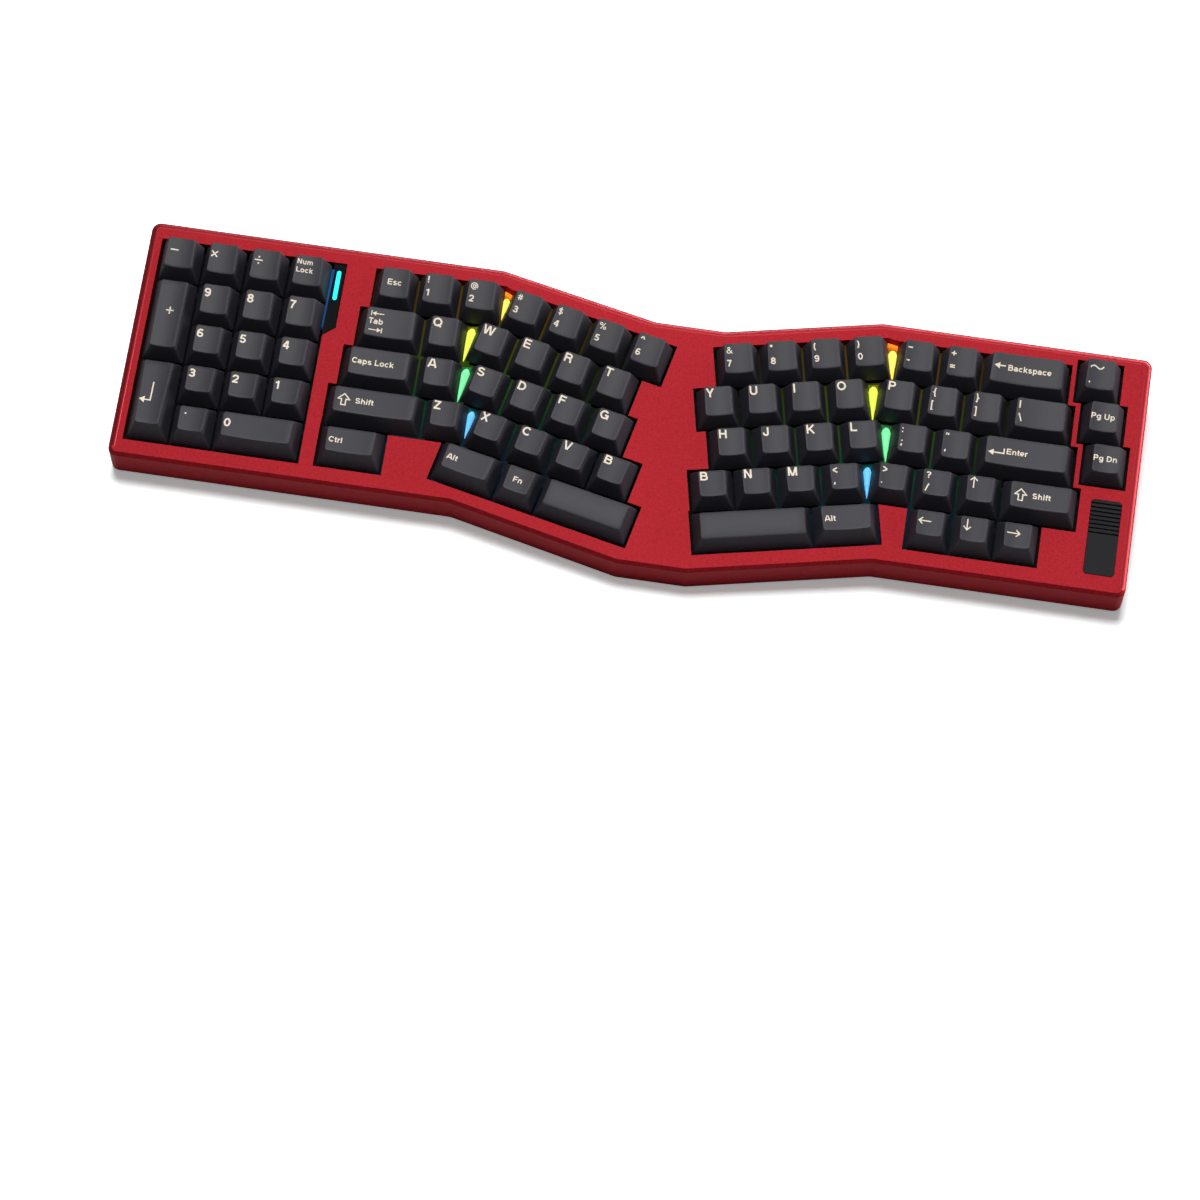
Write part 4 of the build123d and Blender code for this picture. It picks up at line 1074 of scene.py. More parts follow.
# A bold, even-stroked alphabet. Each sign has its advance, then the middle lines of its strokes,
# in hundredths of the type size. Two numbers are a point. Six are an arc: its middle, its two
# radii, and the angles where it starts and ends. Capitals are 72 high and small letters 53.
CAPITAL = 72
STEM = 13.5
TALL = ((STEM, 0), (STEM, CAPITAL))
SHORT = ((STEM, 0), (STEM, 53))
ARCH = ((30.5, 30, 17, 16.6, 180, 0), (47.5, 0))
ROUND = (32, 26.5, 19, 20.3, 0, 360)
ALPHABET: dict[str, tuple] = {
    " ": (28,),
    "A": (72, ((7, 0), (31, 72)), ((65, 0), (41, 72)), ((15, 20), (57, 20))),
    "B": (72, TALL, ((14, 65.5), (41, 52, 13.5, 13.5, 90, -90), (14, 38.5)),
          ((30, 38.5), (43, 22.5, 16, 16, 90, -90), (14, 6.5))),
    "C": (72, ((39, 36, 27, 29.6, 40, 320),)),
    "D": (72, TALL, ((14, 65.5), (33, 36, 27, 29.5, 90, -90), (14, 6.5))),
    "E": (67, TALL, ((14, 65.5), (61, 65.5)), ((14, 37), (58, 37)), ((14, 6.5), (62, 6.5))),
    "F": (61, TALL, ((14, 65.5), (57, 65.5)), ((14, 35.5), (52, 35.5))),
    "G": (78, ((39, 36, 28, 29.6, 42, 335),), ((42, 33), (67, 33)), ((66, 39), (66, 2))),
    "H": (72, TALL, ((58.7, 0), (58.7, 72)), ((14, 37.5), (58, 37.5))),
    "I": (28, TALL),
    "J": (56, ((42, 72), (26, 22, 16, 15.5, 0, -180), (10, 28))),
    "K": (72, TALL, ((62, 72), (16, 27)), ((29, 40), (64, 0))),
    "L": (61, TALL, ((14, 6.5), (58, 6.5))),
    "M": (83, TALL, ((70, 0), (70, 72)), ((15, 72), (40, 0)), ((68.5, 72), (43.5, 0))),
    "N": (72, TALL, ((58.7, 0), (58.7, 72)), ((15, 72), (57, 0))),
    "O": (78, ((39, 36, 28, 29.6, 0, 360),)),
    "P": (67, TALL, ((14, 65.5), (39, 49.5, 16, 16, 90, -90), (14, 33.5))),
    "Q": (78, ((39, 36, 28, 29.6, 0, 360),), ((43, 20), (68, -2))),
    "R": (72, TALL, ((14, 65.5), (42, 51, 14.5, 14.5, 90, -90), (14, 36.5)),
          ((42, 37), (53, 29), (56, 16), (59, 0))),
    "S": (67, ((33, 51.5, 20.5, 14, 20, 235), (34, 21, 22.5, 14.6, 55, -162))),
    "T": (61, ((30.5, 0), (30.5, 66)), ((3, 65.5), (58, 65.5))),
    "U": (72, ((13.5, 72), (36, 27, 22.6, 20.5, 180, 360), (58.6, 72))),
    "V": (67, ((8, 72), (31, 0)), ((59, 72), (36, 0))),
    "W": (94, ((8, 72), (25, 0)), ((45, 72), (28, 0)), ((49, 72), (66, 0)), ((86, 72), (69, 0))),
    "X": (67, ((10, 72), (57, 0)), ((57, 72), (10, 0))),
    "Y": (67, ((9, 72), (33.5, 28)), ((58, 72), (33.5, 28)), ((33.5, 0), (33.5, 34))),
    "Z": (61, ((5, 65.5), (56, 65.5)), ((50, 66), (11, 6)), ((5, 6.5), (57, 6.5))),
    "a": (56, ((10, 37), (26.5, 36, 16.5, 10.5, 170, 0), (43, 0)),
          ((43, 29), (30, 28), (22, 17, 13.5, 10.8, 95, 270), (30, 7), (42, 15))),
    "b": (61, TALL, (ROUND,)),
    "c": (56, ((30, 26.5, 20.5, 20.3, 45, 315),)),
    "e": (56, ((9, 25), (47, 25)), ((28.5, 26.5, 19.5, 20.3, 0, 315),)),
    "f": (33, ((16, 0), (27, 56, 11, 9.5, 180, 90), (32, 65.5)), ((2, 47), (31, 47))),
    "g": (61, ((29, 27.5, 19, 19.3, 0, 360),), ((48, 53), (29, 2, 19, 15.5, 0, -150))),
    "h": (61, TALL, ARCH),
    "i": (28, SHORT, ((STEM, 60), (STEM, CAPITAL))),
    "k": (56, TALL, ((47, 53), (16, 19)), ((25, 30), (50, 0))),
    "l": (28, TALL),
    "m": (89, SHORT, ((29, 30, 15.5, 16.6, 180, 0), (44.5, 0)), ((60, 30, 15.5, 16.6, 180, 0), (75.5, 0))),
    "n": (61, SHORT, ARCH),
    "o": (61, ((30.5, 26.5, 20.5, 20.3, 0, 360),)),
    "p": (61, ((STEM, -20), (STEM, 53)), (ROUND,)),
    "r": (39, SHORT, ((31, 29, 17.5, 17.5, 180, 90), (37, 46.5))),
    "s": (56, ((27, 38.2, 15.5, 8.6, 20, 235), (28, 15.4, 17, 9.2, 55, -162))),
    "t": (33, ((16, 66), (25, 15, 9, 8.5, 180, 270), (31, 6.5)), ((3, 47), (31, 47))),
    "u": (61, ((13.5, 53), (30.5, 22, 17, 15.8, 180, 360), (47.5, 53)), ((47.5, 0), (47.5, 53))),
    "0": (56, ((28, 35.5, 18.8, 29, 0, 360),)),
    "1": (56, ((31, 0), (31, 71)), ((9, 53), (22, 55), (31, 66))),
    "2": (56, ((27.5, 48, 18.5, 16.8, 180, -35), (13, 8)), ((6, 6.5), (49, 6.5))),
    "3": (56, ((26.5, 51, 16.5, 13.8, 165, -90), (18, 37.2)), ((22, 37), (27, 21.5, 18.5, 15.5, 85, -165))),
    "4": (56, ((38, 0), (38, 71)), ((4, 21.5), (52, 21.5)), ((34, 68), (8, 24))),
    "5": (56, ((14, 64.5), (47, 64.5)), ((16, 66), (11.5, 33)), ((27, 23, 19, 16.8, 145, -155),)),
    "6": (56, ((28, 22.3, 18.3, 16, 0, 360),), ((30, 36, 20.3, 28.7, 45, 190),)),
    "7": (56, ((5, 64.5), (50, 64.5)), ((46, 64), (33, 44), (25, 22), (21, 0))),
    "8": (56, ((28, 52.3, 15.8, 12.8, 0, 360),), ((28, 21.5, 18.3, 15.2, 0, 360),)),
    "9": (56, ((27, 48.7, 18.3, 16, 0, 360),), ((25.5, 35, 20.3, 28.7, -135, 10),)),
    "!": (28, ((14, 22), (14, 72)), ((14, 0), (14, 13))),
    "@": (84, ((42, 33, 33, 34, -35, 300),), ((41, 33, 13, 15, 0, 360),), ((56, 50), (55, 25), (66, 20))),
    "#": (56, ((16, 4), (22, 68)), ((34, 4), (40, 68)), ((3, 47), (53, 47)), ((3, 25), (53, 25))),
    "$": (56, ((27, 49, 17, 11, 20, 235), (28, 23, 18, 12, 55, -162)), ((27.5, -8), (27.5, 79))),
    "%": (84, ((20, 53, 12, 12.5, 0, 360),), ((64, 18, 12, 12.5, 0, 360),), ((58, 72), (26, -1))),
    "^": (56, ((10, 42), (26, 70)), ((46, 42), (30, 70))),
    "&": (70, ((66, 2), (22, 48), (31, 56, 11, 10, 190, -20), (38, 42),
               (27, 20, 18, 14, 130, 325), (62, 36))),
    "*": (40, ((20, 44), (20, 72)), ((8, 51), (32, 65)), ((8, 65), (32, 51))),
    "(": (34, ((44, 26, 28, 46, 125, 235),)),
    ")": (34, ((-10, 26, 28, 46, 55, -55),)),
    "_": (56, ((4, 30), (50, 30))),
    "-": (40, ((5, 27), (35, 27))),
    "+": (58, ((4, 30), (54, 30)), ((29, 5), (29, 55))),
    "=": (58, ((4, 38), (54, 38)), ((4, 17), (54, 17))),
    "{": (36, ((33, 78), (25, 76), (21, 68), (21, 48), (17, 39), (8, 35),
               (17, 31), (21, 22), (21, 2), (25, -6), (33, -8))),
    "}": (36, ((3, 78), (11, 76), (15, 68), (15, 48), (19, 39), (28, 35),
               (19, 31), (15, 22), (15, 2), (11, -6), (3, -8))),
    "[": (36, ((31, 75), (16, 75), (16, -17), (31, -17))),
    "]": (36, ((5, 75), (20, 75), (20, -17), (5, -17))),
    "|": (28, ((14, -5), (14, 75))),
    "\\": (44, ((5, 74), (35, -10))),
    "/": (44, ((35, 74), (5, -10))),
    ":": (28, ((14, 6), (14, 20)), ((14, 46), (14, 60))),
    ";": (28, ((14, 46), (14, 60)), ((14, 20), (14, 6), (8, -8))),
    '"': (47, ((12, 48), (14, 70)), ((32, 48), (34, 70))),
    "'": (28, ((15, 24), (15, 10), (9, -3))),
    "<": (58, ((52, 56), (9, 32)), ((52, 4), (9, 28))),
    ">": (58, ((6, 56), (49, 32)), ((6, 4), (49, 28))),
    ",": (28, ((14, 30), (14, 17), (8, 4))),
    ".": (28, ((14, 8), (14, 21))),
    "?": (60, ((29, 52, 18, 13.5, 170, -45), (30, 33), (30, 21)), ((30, 0), (30, 13))),
    "~": (150, ((6, 16), (20, 34), (38, 41), (58, 35), (84, 16), (104, 9), (124, 15), (140, 36))),
    "`": (34, ((8, 2), (17, -14))),
}


# Width of the thin strokes of drawn signs, in millimetres
THIN_LINE = 0.52


@dataclass(frozen=True)
class Ribbon:
    """A stroke of even width along a line of points and arcs, in millimetres.

    An arc is spelt out in steps of at most so many degrees, and a straight run in steps of at most
    so many millimetres, so that it can follow a hollow. A mitre is no sharper than its limit, the
    cosine of half the corner's turn.
    """

    line: tuple[tuple[float, ...], ...]
    width: float
    arc_step: float = 20.0
    longest: float = 1.2
    mitre_limit: float = 0.6
    same_place: float = 1e-6

    def points(self) -> tuple[np.ndarray, bool]:
        """Spells the line out.

        Returns:
            Rows of X, Y, and whether the line closes on itself.
        """
        spelt: list[np.ndarray] = []
        for item in self.line:
            if len(item) == 2:
                spelt.append(np.array([item]))
                continue
            x, y, rx, ry, start, end = item
            count = math.ceil(abs(end - start) / self.arc_step) + 1
            turn = np.radians(np.linspace(start, end, count))
            spelt.append(np.column_stack([x + rx * np.cos(turn), y + ry * np.sin(turn)]))
        rough = np.concatenate(spelt)
        closed = bool(np.linalg.norm(rough[0] - rough[-1]) < self.same_place)
        lengths = np.linalg.norm(np.diff(rough, axis=0), axis=1)
        steps = np.ceil(lengths / self.longest).astype(int)
        fine = [
            a + (b - a) * np.linspace(0, 1, n, endpoint=False)[:, None]
            for a, b, n in zip(rough, rough[1:], steps)
        ]
        line = np.concatenate(fine if closed else [*fine, rough[-1:]])
        return line, closed

    def solid(self) -> Shell:
        """The stroke as a flat closed shell, its corners mitred.

        At each point the half width is laid off square to the mean of the runs before and after,
        and divided by the cosine of half the turn.

        Returns:
            Points, whose Z is 1 on the upper side and 0 on the lower, and faces.
        """
        line, closed = self.points()
        after = np.roll(line, -1, axis=0) - line
        before = line - np.roll(line, 1, axis=0)
        if not closed:
            after[-1], before[0] = before[-1], after[0]
        after = after / np.linalg.norm(after, axis=1)[:, None]
        before = before / np.linalg.norm(before, axis=1)[:, None]
        along = after + before
        along = along / np.linalg.norm(along, axis=1)[:, None]
        across = np.column_stack([-along[:, 1], along[:, 0]])
        bend = np.maximum((along * after).sum(axis=1), self.mitre_limit)
        half = (self.width / 2 / bend)[:, None]
        left, right = line + across * half, line - across * half
        n = len(line)
        one, zero = np.ones((n, 1)), np.zeros((n, 1))
        sides = ((left, zero), (left, one), (right, one), (right, zero))
        tube = np.stack([np.hstack(side) for side in sides], axis=1)
        # A closed line's last ring is its first one again
        corners = len(sides)
        wrapped = np.array(ring_faces(n + 1, corners)) % (corners * n)
        faces = wrapped.tolist() if closed else capped(n, corners)
        return tube.reshape(-1, 3), faces


def head(tip: tuple[float, float], back: tuple[float, float], width: float) -> Shell:
    """A filled arrowhead: a prism on a triangle.

    Args:
        tip: Its tip.
        back: The middle of its back.
        width: The width of its back.

    Returns:
        Points and faces of a flat closed shell.
    """
    end, rear = np.array(tip), np.array(back)
    along = (end - rear) / np.linalg.norm(end - rear)
    across = np.array([-along[1], along[0]]) * width / 2
    return prism(np.array([rear - across, end, rear + across]), 0.0, 1.0)


def arrow(
    tail: tuple[float, float],
    tip: tuple[float, float],
    barb: tuple[float, float] = (1.6, 1.55),
    short: float = 0.2,
) -> tuple[Ribbon, ...]:
    """A thin arrow: a shaft, and two barbs in one bent stroke.

    Args:
        tail: Where the shaft starts.
        tip: Where the barbs meet.
        barb: How far a barb reaches back from the tip, and how far aside.
        short: How far before the tip the shaft ends.

    Returns:
        The shaft and the barbs.
    """
    along = np.array(tip) - np.array(tail)
    along = along / np.linalg.norm(along)
    across = np.array([-along[1], along[0]])
    back = np.array(tip) - along * barb[0]
    barbs = (tuple(back + across * barb[1]), tuple(tip), tuple(back - across * barb[1]))
    return (Ribbon((tail, tuple(np.array(tip) - along * short)), THIN_LINE), Ribbon(barbs, THIN_LINE))


def house(x: float, y: float) -> Ribbon:
    """The outlined arrow of a shift key, drawn round its right half and back up its left.

    Args:
        x: Its middle across the cap.
        y: Its middle along the cap.

    Returns:
        The closed outline.
    """
    right = ((0.945, -2.7), (0.945, 0.1), (2.625, 0.1), (0.0, 2.75))
    left = tuple((-across, along) for across, along in right[-2::-1])
    return Ribbon(tuple((x + across, y + along) for across, along in (*right, *left, right[0])), THIN_LINE)


# Drawn signs, about the middle of the cap's top
SIGNS: dict[str, tuple[Ribbon, ...]] = {
    "minus": (Ribbon(((-4.4, 1.0), (-0.9, 1.0)), 0.6),),
    "plus": (Ribbon(((-1.4, 1.8), (2.0, 1.8)), 0.55), Ribbon(((0.3, 0.1), (0.3, 3.5)), 0.55)),
    "times": (Ribbon(((-5.2, 0.3), (-2.6, 2.9)), 0.6), Ribbon(((-5.2, 2.9), (-2.6, 0.3)), 0.6)),
    "divide": (
        Ribbon(((-5.0, 1.6), (-1.5, 1.6)), 0.55),
        Ribbon(((-3.6, 3.05), (-2.9, 3.05)), 0.7), Ribbon(((-3.6, 0.15), (-2.9, 0.15)), 0.7),
    ),
    "point": (Ribbon(((-3.5, 2.6), (-2.8, 2.6)), 0.7),),
    "return": (Ribbon(((-0.4, 5.6), (-0.4, -3.4), (-3.6, -3.4)), 0.6),),
    "tab": (
        Ribbon(((-3.1, 3.75), (-7.3, 3.75)), 0.42), Ribbon(((-8.65, 2.6), (-8.65, 4.9)), 0.42),
        Ribbon(((-8.9, -3.9), (-4.7, -3.9)), 0.42), Ribbon(((-3.15, -5.05), (-3.15, -2.75)), 0.42),
    ),
    "backspace": (Ribbon(((-12.8, 0.7), (-9.4, 0.7)), 0.6),),
    "enter": (Ribbon(((-15.0, -1.0), (-9.7, -1.0), (-9.7, 1.3)), 0.6),),
    "up": arrow((-2.95, 0.3), (-2.95, 5.4)),
    "down": arrow((-2.9, 4.8), (-2.9, -0.4)),
    "left": arrow((0.6, 1.1), (-4.7, 1.1)),
    "right": arrow((-4.6, 1.2), (0.9, 1.2)),
}
# Their filled arrowheads: the tip, the middle of the back, and the width
HEADS = {
    "return": (((-5.3, -3.4), (-2.9, -3.4), 3.2),),
    "backspace": (((-14.5, 0.7), (-12.0, 0.7), 2.9),),
    "enter": (((-16.6, -1.0), (-14.2, -1.0), 2.8),),
    "tab": (((-8.4, 3.75), (-6.6, 3.75), 2.1), ((-3.4, -3.9), (-5.2, -3.9), 2.1)),
}
# The words beside them, each with its distance from the top's left edge
WORDS = {"tab": ("Tab", 1.4), "backspace": ("Backspace", 7.5), "enter": ("Enter", 9.3)}


@dataclass
class Lettering:
    """Cream legends: a thin second moulding that lies flush in each cap's top.

    Each sign is drawn flat and then laid on the top surface. Its upper side stands a hair proud,
    and its lower side is sunk. Margins run from the top's left edge, drops from the upper line to
    the lower one, and a shift key's sign and word lie to the right of that edge and above the line.
    Centre is where the middle of a centred word lies.
    """

    margin: float = 0.95
    word_margin: float = 1.35
    pair_margin: float = 1.25
    line_margin: float = 1.0
    centre: float = -0.4
    pair_drop: float = 5.85
    line_drop: float = 3.8
    shift_sign: tuple[float, float] = (4.6, 0.15)
    shift_word: tuple[float, float] = (9.7, 0.15)
    thin_signs: str = "@#$%*&"
    thin_share: float = 0.7
    proud: float = 0.02
    sunk: float = 0.09
    step: float = 0.004
    steps: int = 5

    def placed(self, item: tuple[float, ...], cursor: float, scale: float) -> tuple[float, ...]:
        """A point or an arc of a sign, moved along the word and scaled, its angles left alone.

        Args:
            item: Two numbers or six, as in the alphabet.
            cursor: Where the sign starts in the word.
            scale: Millimetres for each of the alphabet's steps.

        Returns:
            The same point or arc in millimetres.
        """
        x, *lengths = item[:4]
        return ((x + cursor) * scale, *(length * scale for length in lengths), *item[4:])

    def word(self, text: str, height: float, x: float, y: float, centred: bool = False) -> list[Shell]:
        """A word as flat shells.

        Args:
            text: The word.
            height: Height of its capitals in millimetres.
            x: Its left edge, or its middle.
            y: The line that it stands on.
            centred: Whether x is its middle.

        Returns:
            Points and faces of each stroke.
        """
        scale = height / CAPITAL
        made = []
        cursor = 0.0
        for sign in text:
            advance, *strokes = ALPHABET[sign]
            width = (STEM * self.thin_share if sign in self.thin_signs else STEM) * scale
            for stroke in strokes:
                line = tuple(self.placed(item, cursor, scale) for item in stroke)
                made.append(Ribbon(line, width).solid())
            cursor += advance
        low = min(points[:, 0].min() for points, _ in made)
        high = max(points[:, 0].max() for points, _ in made)
        start = x - (low + high) / 2 if centred else x - low
        return [(points + [start, y, 0.0], faces) for points, faces in made]

    def drawn(self, key: Key, edge: float) -> list[Shell]:
        """A drawn sign, its arrowheads, and the word beside it where it has one.

        Args:
            key: The key.
            edge: Where the top's left edge lies.

        Returns:
            Points and faces of each stroke.
        """
        _, height, line = key.legend.value
        made = [ribbon.solid() for ribbon in SIGNS.get(key.text, ())]
        made += [head(*spot) for spot in HEADS.get(key.text, ())]
        if key.text in WORDS:
            text, reach = WORDS[key.text]
            made += self.word(text, height, edge + reach, line)
        if key.text == "shift":
            across, along = self.shift_sign
            made.append(house(edge + across, along).solid())
            across, along = self.shift_word
            made += self.word("Shift", height, edge + across, line + along)
        return made

    def signs(self, key: Key, cap: Cap) -> list[Shell]:
        """The key's signs, flat, in the cap's frame about the middle of its top.

        Args:
            key: The key.
            cap: Its cap.

        Returns:
            Points and faces of each sign.
        """
        edge = cap.row.side - cap.base[0] / 2
        _, height, line = key.legend.value
        if key.legend in (Legend.LETTER, Legend.DIGIT, Legend.LOW_DIGIT):
            return self.word(key.text, height, edge + self.margin, line)
        if key.legend is Legend.PAIR:
            upper, lower = key.text
            left, below = edge + self.pair_margin, line - self.pair_drop
            return self.word(upper, height, left, line) + self.word(lower, height, left, below)
        if key.legend is Legend.WORD:
            return self.word(key.text, height, edge + self.word_margin, line)
        if key.legend is Legend.CENTRE:
            return self.word(key.text, height, self.centre, line, centred=True)
        if key.legend is Legend.LINES:
            upper, lower = key.text.split("|")
            left, below = edge + self.line_margin, line - self.line_drop
            return self.word(upper, height, left, line) + self.word(lower, height, left, below)
        if key.legend is Legend.DRAWN:
            return self.drawn(key, edge)
        return []

    def laid(self, key: Key, cap: Cap) -> list[Shell]:
        """The key's signs laid on the cap's top: each point's height is the surface's there.

        Where strokes cross, each lies a few thousandths of a millimetre above the one before.

        Args:
            key: The key.
            cap: Its cap.

        Returns:
            Points and faces of each stroke, in the cap's frame.
        """
        laid = []
        for i, (points, faces) in enumerate(self.signs(key, cap)):
            x, y = points[:, 0], points[:, 1] + cap.middle_y
            upper = points[:, 2] > 0.5
            proud = self.proud + i % self.steps * self.step
            z = cap.top(x, y) + np.where(upper, proud, -self.sunk)
            laid.append((np.column_stack([x, y, z]), faces))
        return laid


@dataclass
class Keyboard:
    """All keys: caps with their sliders, and the lettering, gathered by the body they move with.

    Skirts hang below the deck's face by the skirt's height, and the bottoms are heights over it.
    A cap from two units on has two inserts, at the stabiliser's reach to each side.
    """

    skirt_height: float = 1.1
    slider: tuple[float, float] = (7.0, 5.6)
    slider_bottom: float = -6.6
    insert: float = 4.0
    insert_bottom: float = -3.2
    stabilised_from: float = 2.0
    stabiliser_reach: float = 11.94
    space_bodies: tuple[str, ...] = ("key_left_space", "key_right_space")
    lettering: Lettering = field(default_factory=Lettering)

    def keys(self) -> Iterable[tuple[Key, Block, float, float, int]]:
        """Lays out the keys.

        Returns:
            Each key with its block, the X and Y of its cell's middle there, and its line. A tall
            key counts as one of its front half's line.
        """
        for key, line in TALL_KEYS:
            yield key, Block.STRAIGHT, PITCH / 2, -(line + 1) * PITCH, line + 1
        for row in ROWS:
            left = row.start
            for key in row.keys:
                yield key, row.block, (left + key.width / 2) * PITCH, -(row.line + 0.5) * PITCH, row.line
                left += key.width

    def build(self) -> None:
        """Makes one piece of caps and one of lettering for each body."""
        caps: dict[str, Shells] = {}
        signs: dict[str, Shells] = {}
        for key, home, x, y, line in self.keys():
            cap = Cap(key.width, key.depth, CAP_ROWS[line], key.body in self.space_bodies)
            offset = np.array([x, y, -self.skirt_height])
            parts = caps.setdefault(key.body, Shells())
            points, faces = cap.shell()
            parts.add(home.place(points + offset), faces)
            ceiling = cap.row.height - cap.roof - self.skirt_height
            for size, reach, bottom in self.posts(key):
                middle = (x + reach[0], y + reach[1], (ceiling + bottom) / 2)
                points, faces = block((*size, ceiling - bottom), middle)
                parts.add(home.place(points), faces)
            for points, faces in self.lettering.laid(key, cap):
                signs.setdefault(key.body, Shells()).add(home.place(points + offset), faces)
        for body, parts in caps.items():
            parts.piece(body + "_caps", body, "keycap_plastic", [CHARCOAL_PBT], [body], sharp=40.0)
        for body, parts in signs.items():
            parts.piece(body + "_legends", body, "keycap_plastic", [CREAM_PBT])

    def posts(self, key: Key) -> Iterable[tuple[tuple[float, float], tuple[float, float], float]]:
        """The slider under a cap, and the two inserts of a long one.

        Args:
            key: The key.

        Returns:
            Each one's width and depth, its place from the cap's middle, and its bottom.
        """
        yield self.slider, (0.0, 0.0), self.slider_bottom
        if max(key.width, key.depth) >= self.stabilised_from:
            for side in (-1, 1):
                reach = side * self.stabiliser_reach
                place = (0.0, reach) if key.depth > key.width else (reach, 0.0)
                yield (self.insert, self.insert), place, self.insert_bottom


@dataclass
class Machined:
    """Pieces whose solids are right as they are, with their edges broken as a machinist would.

    Lengths are millimetres and angles degrees. The deck's outline is found by the depth that an
    edge may lie below the deck's face, by how far out another edge has to lie to hide it, and by
    how far its wall leans out and may lean to the front.
    """

    body: str = "case"
    merged_within: float = 0.001
    flattened_within: float = 0.3
    depth: float = 0.05
    farther_by: float = 3.0
    leans_out: float = 0.3
    leans_front: float = 0.15
    outline_flats: int = 4

    def mark_outline(self, solid: bmesh.types.BMesh, angle: float) -> None:
        """Gives the edges at the rear and at both sides of the deck's outline a bevel weight of 1.

        Such an edge lies in the deck's face, its wall faces out, and no other edge there lies
        farther out: to the rear at the same X, or sideways at the same Y.

        Args:
            solid: The merged solid.
            angle: Edges that turn by less than this many degrees don't count.
        """
        layer = solid.edges.layers.float.new("bevel_weight_edge")
        joined = [edge for edge in solid.edges if edge.is_manifold]
        sharp = [edge for edge in joined if edge.calc_face_angle() > math.radians(angle)]
        ends = DECK.flat(np.array([[vert.co[:] for vert in edge.verts] for edge in sharp]))
        level = ends[:, :, 2].min(axis=1) > -self.depth
        # Of an edge's two faces, the wall is the one that looks up less
        pairs_of_normals = [[face.normal[:] for face in edge.link_faces] for edge in sharp]
        wall = np.array([min(pair, key=lambda normal: normal[2]) for pair in pairs_of_normals])
        middle = ends.mean(axis=1)
        outline = np.zeros(len(sharp), bool)
        # To the rear, to the right and to the left: the axis along the edge, the one out, its sign
        for along, out, sign in ((0, 1, 1), (1, 0, 1), (1, 0, -1)):
            place = middle[:, None, along]
            low, high = ends[:, :, along].min(axis=1), ends[:, :, along].max(axis=1)
            spans = (low[None] <= place) & (high[None] >= place) & level[None]
            farther = sign * (middle[None, :, out] - middle[:, None, out]) > self.farther_by
            hidden = (spans & farther).any(axis=1)
            faces_out = (sign * wall[:, out] > self.leans_out) & (wall[:, 1] > -self.leans_front)
            outline |= level & faces_out & ~hidden
        for edge, outside in zip(sharp, outline):
            edge[layer] = float(outside)

    def paint_groove_shade(self, solid: bmesh.types.BMesh, depth: float) -> None:
        """Paints shade into the grooves: every face but the ribs' lower ones gets the second, black finish.

        Args:
            solid: The merged solid.
            depth: How far above the lowest face, square to the deck, a face still counts as a
                rib's, in millimetres.
        """
        solid.verts.index_update()
        heights = DECK.flat(np.array([vert.co[:] for vert in solid.verts]))[:, 2]
        tops = [max(heights[vert.index] for vert in face.verts) for face in solid.faces]
        lowest = min(tops)
        for face, top in zip(solid.faces, tops):
            face.material_index = int(top > lowest + depth)

    def refine(
        self,
        node: str,
        finish: Finish,
        edge: float,
        segments: int = 2,
        angle: float = 28.0,
        outline: float = 0.0,
        grooves: float = 0.0,
    ) -> bpy.types.Object:
        """Copies a solid's mesh, merges it, and rounds its edges.

        Args:
            node: The solid.
            finish: Its finish.
            edge: Width of the rounding in millimetres.
            segments: How many flats the rounding has.
            angle: Edges that turn by less than this many degrees are left.
            outline: Width of a wider rounding along the deck's outline, if there is one.
            grooves: How far above the ribs' lower faces the black painted shade starts, if there is any.

        Returns:
            The new piece, which stands for the solid.
        """
        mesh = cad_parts[node].data.copy()
        mesh.name = node + "_machined"
        solid = bmesh.new()
        solid.from_mesh(mesh)
        bmesh.ops.remove_doubles(solid, verts=solid.verts, dist=self.merged_within * MM)
        flat_angle = math.radians(self.flattened_within)
        bmesh.ops.dissolve_limit(solid, angle_limit=flat_angle, verts=solid.verts, edges=solid.edges)
        if outline:
            self.mark_outline(solid, angle)
        if grooves:
            self.paint_groove_shade(solid, grooves)
        mesh.materials.clear()
        solid.to_mesh(mesh)
        solid.free()
        mesh.materials.append(finish.material())
        # The second finish, black, is painted shade in the ribbed bar's grooves
        if grooves:
            mesh.materials.append(BLACK_ANODISED.material())
        mesh.polygons.foreach_set("use_smooth", [True] * len(mesh.polygons))
        mesh.set_sharp_from_angle(angle=math.radians(angle))
        piece = add_object(mesh.name, mesh)
        if outline:
            # The outline's rounding wears the lighter red of the painted highlight
            mesh.materials.append(RED_EDGE_PAINTED_HIGHLIGHT.material())
            wide = piece.modifiers.new("rounded_outline", "BEVEL")
            wide.width = outline * MM
            wide.segments = self.outline_flats
            wide.limit_method = "WEIGHT"
            wide.use_clamp_overlap = False
            wide.material = 1
        bevel = piece.modifiers.new("broken_edge", "BEVEL")
        bevel.width = edge * MM
        bevel.segments = segments
        bevel.limit_method = "ANGLE"
        bevel.angle_limit = math.radians(angle)
        flat = piece.modifiers.new("flat_faces_stay_flat", "WEIGHTED_NORMAL")
        flat.weight = 100
        flat.keep_sharp = True
        settle(piece, self.body, [node])
        return piece

    def build(self) -> None:
        """Makes the case, the underside and the deck's fittings."""
        self.refine("case_top", RED_ANODISED, edge=0.25, outline=1.4)
        self.refine("case_bottom", RED_ANODISED, edge=0.4, segments=3)
        self.refine("bottom_weight", BLACK_ECOAT, edge=0.3)
        self.refine("ribbed_bar", GREY_ANODISED, edge=0.2, grooves=0.3)
        self.refine("emblem_plate", BLACK_ANODISED, edge=0.3)
        self.refine("deck_badge", BLACK_ANODISED, edge=0.12)
        self.refine("rear_feet", RUBBER, edge=0.5, segments=3)
        self.refine("front_feet", RUBBER, edge=0.5, segments=3)
        self.refine("indicator_cover", SMOKED_PC, edge=0.15)


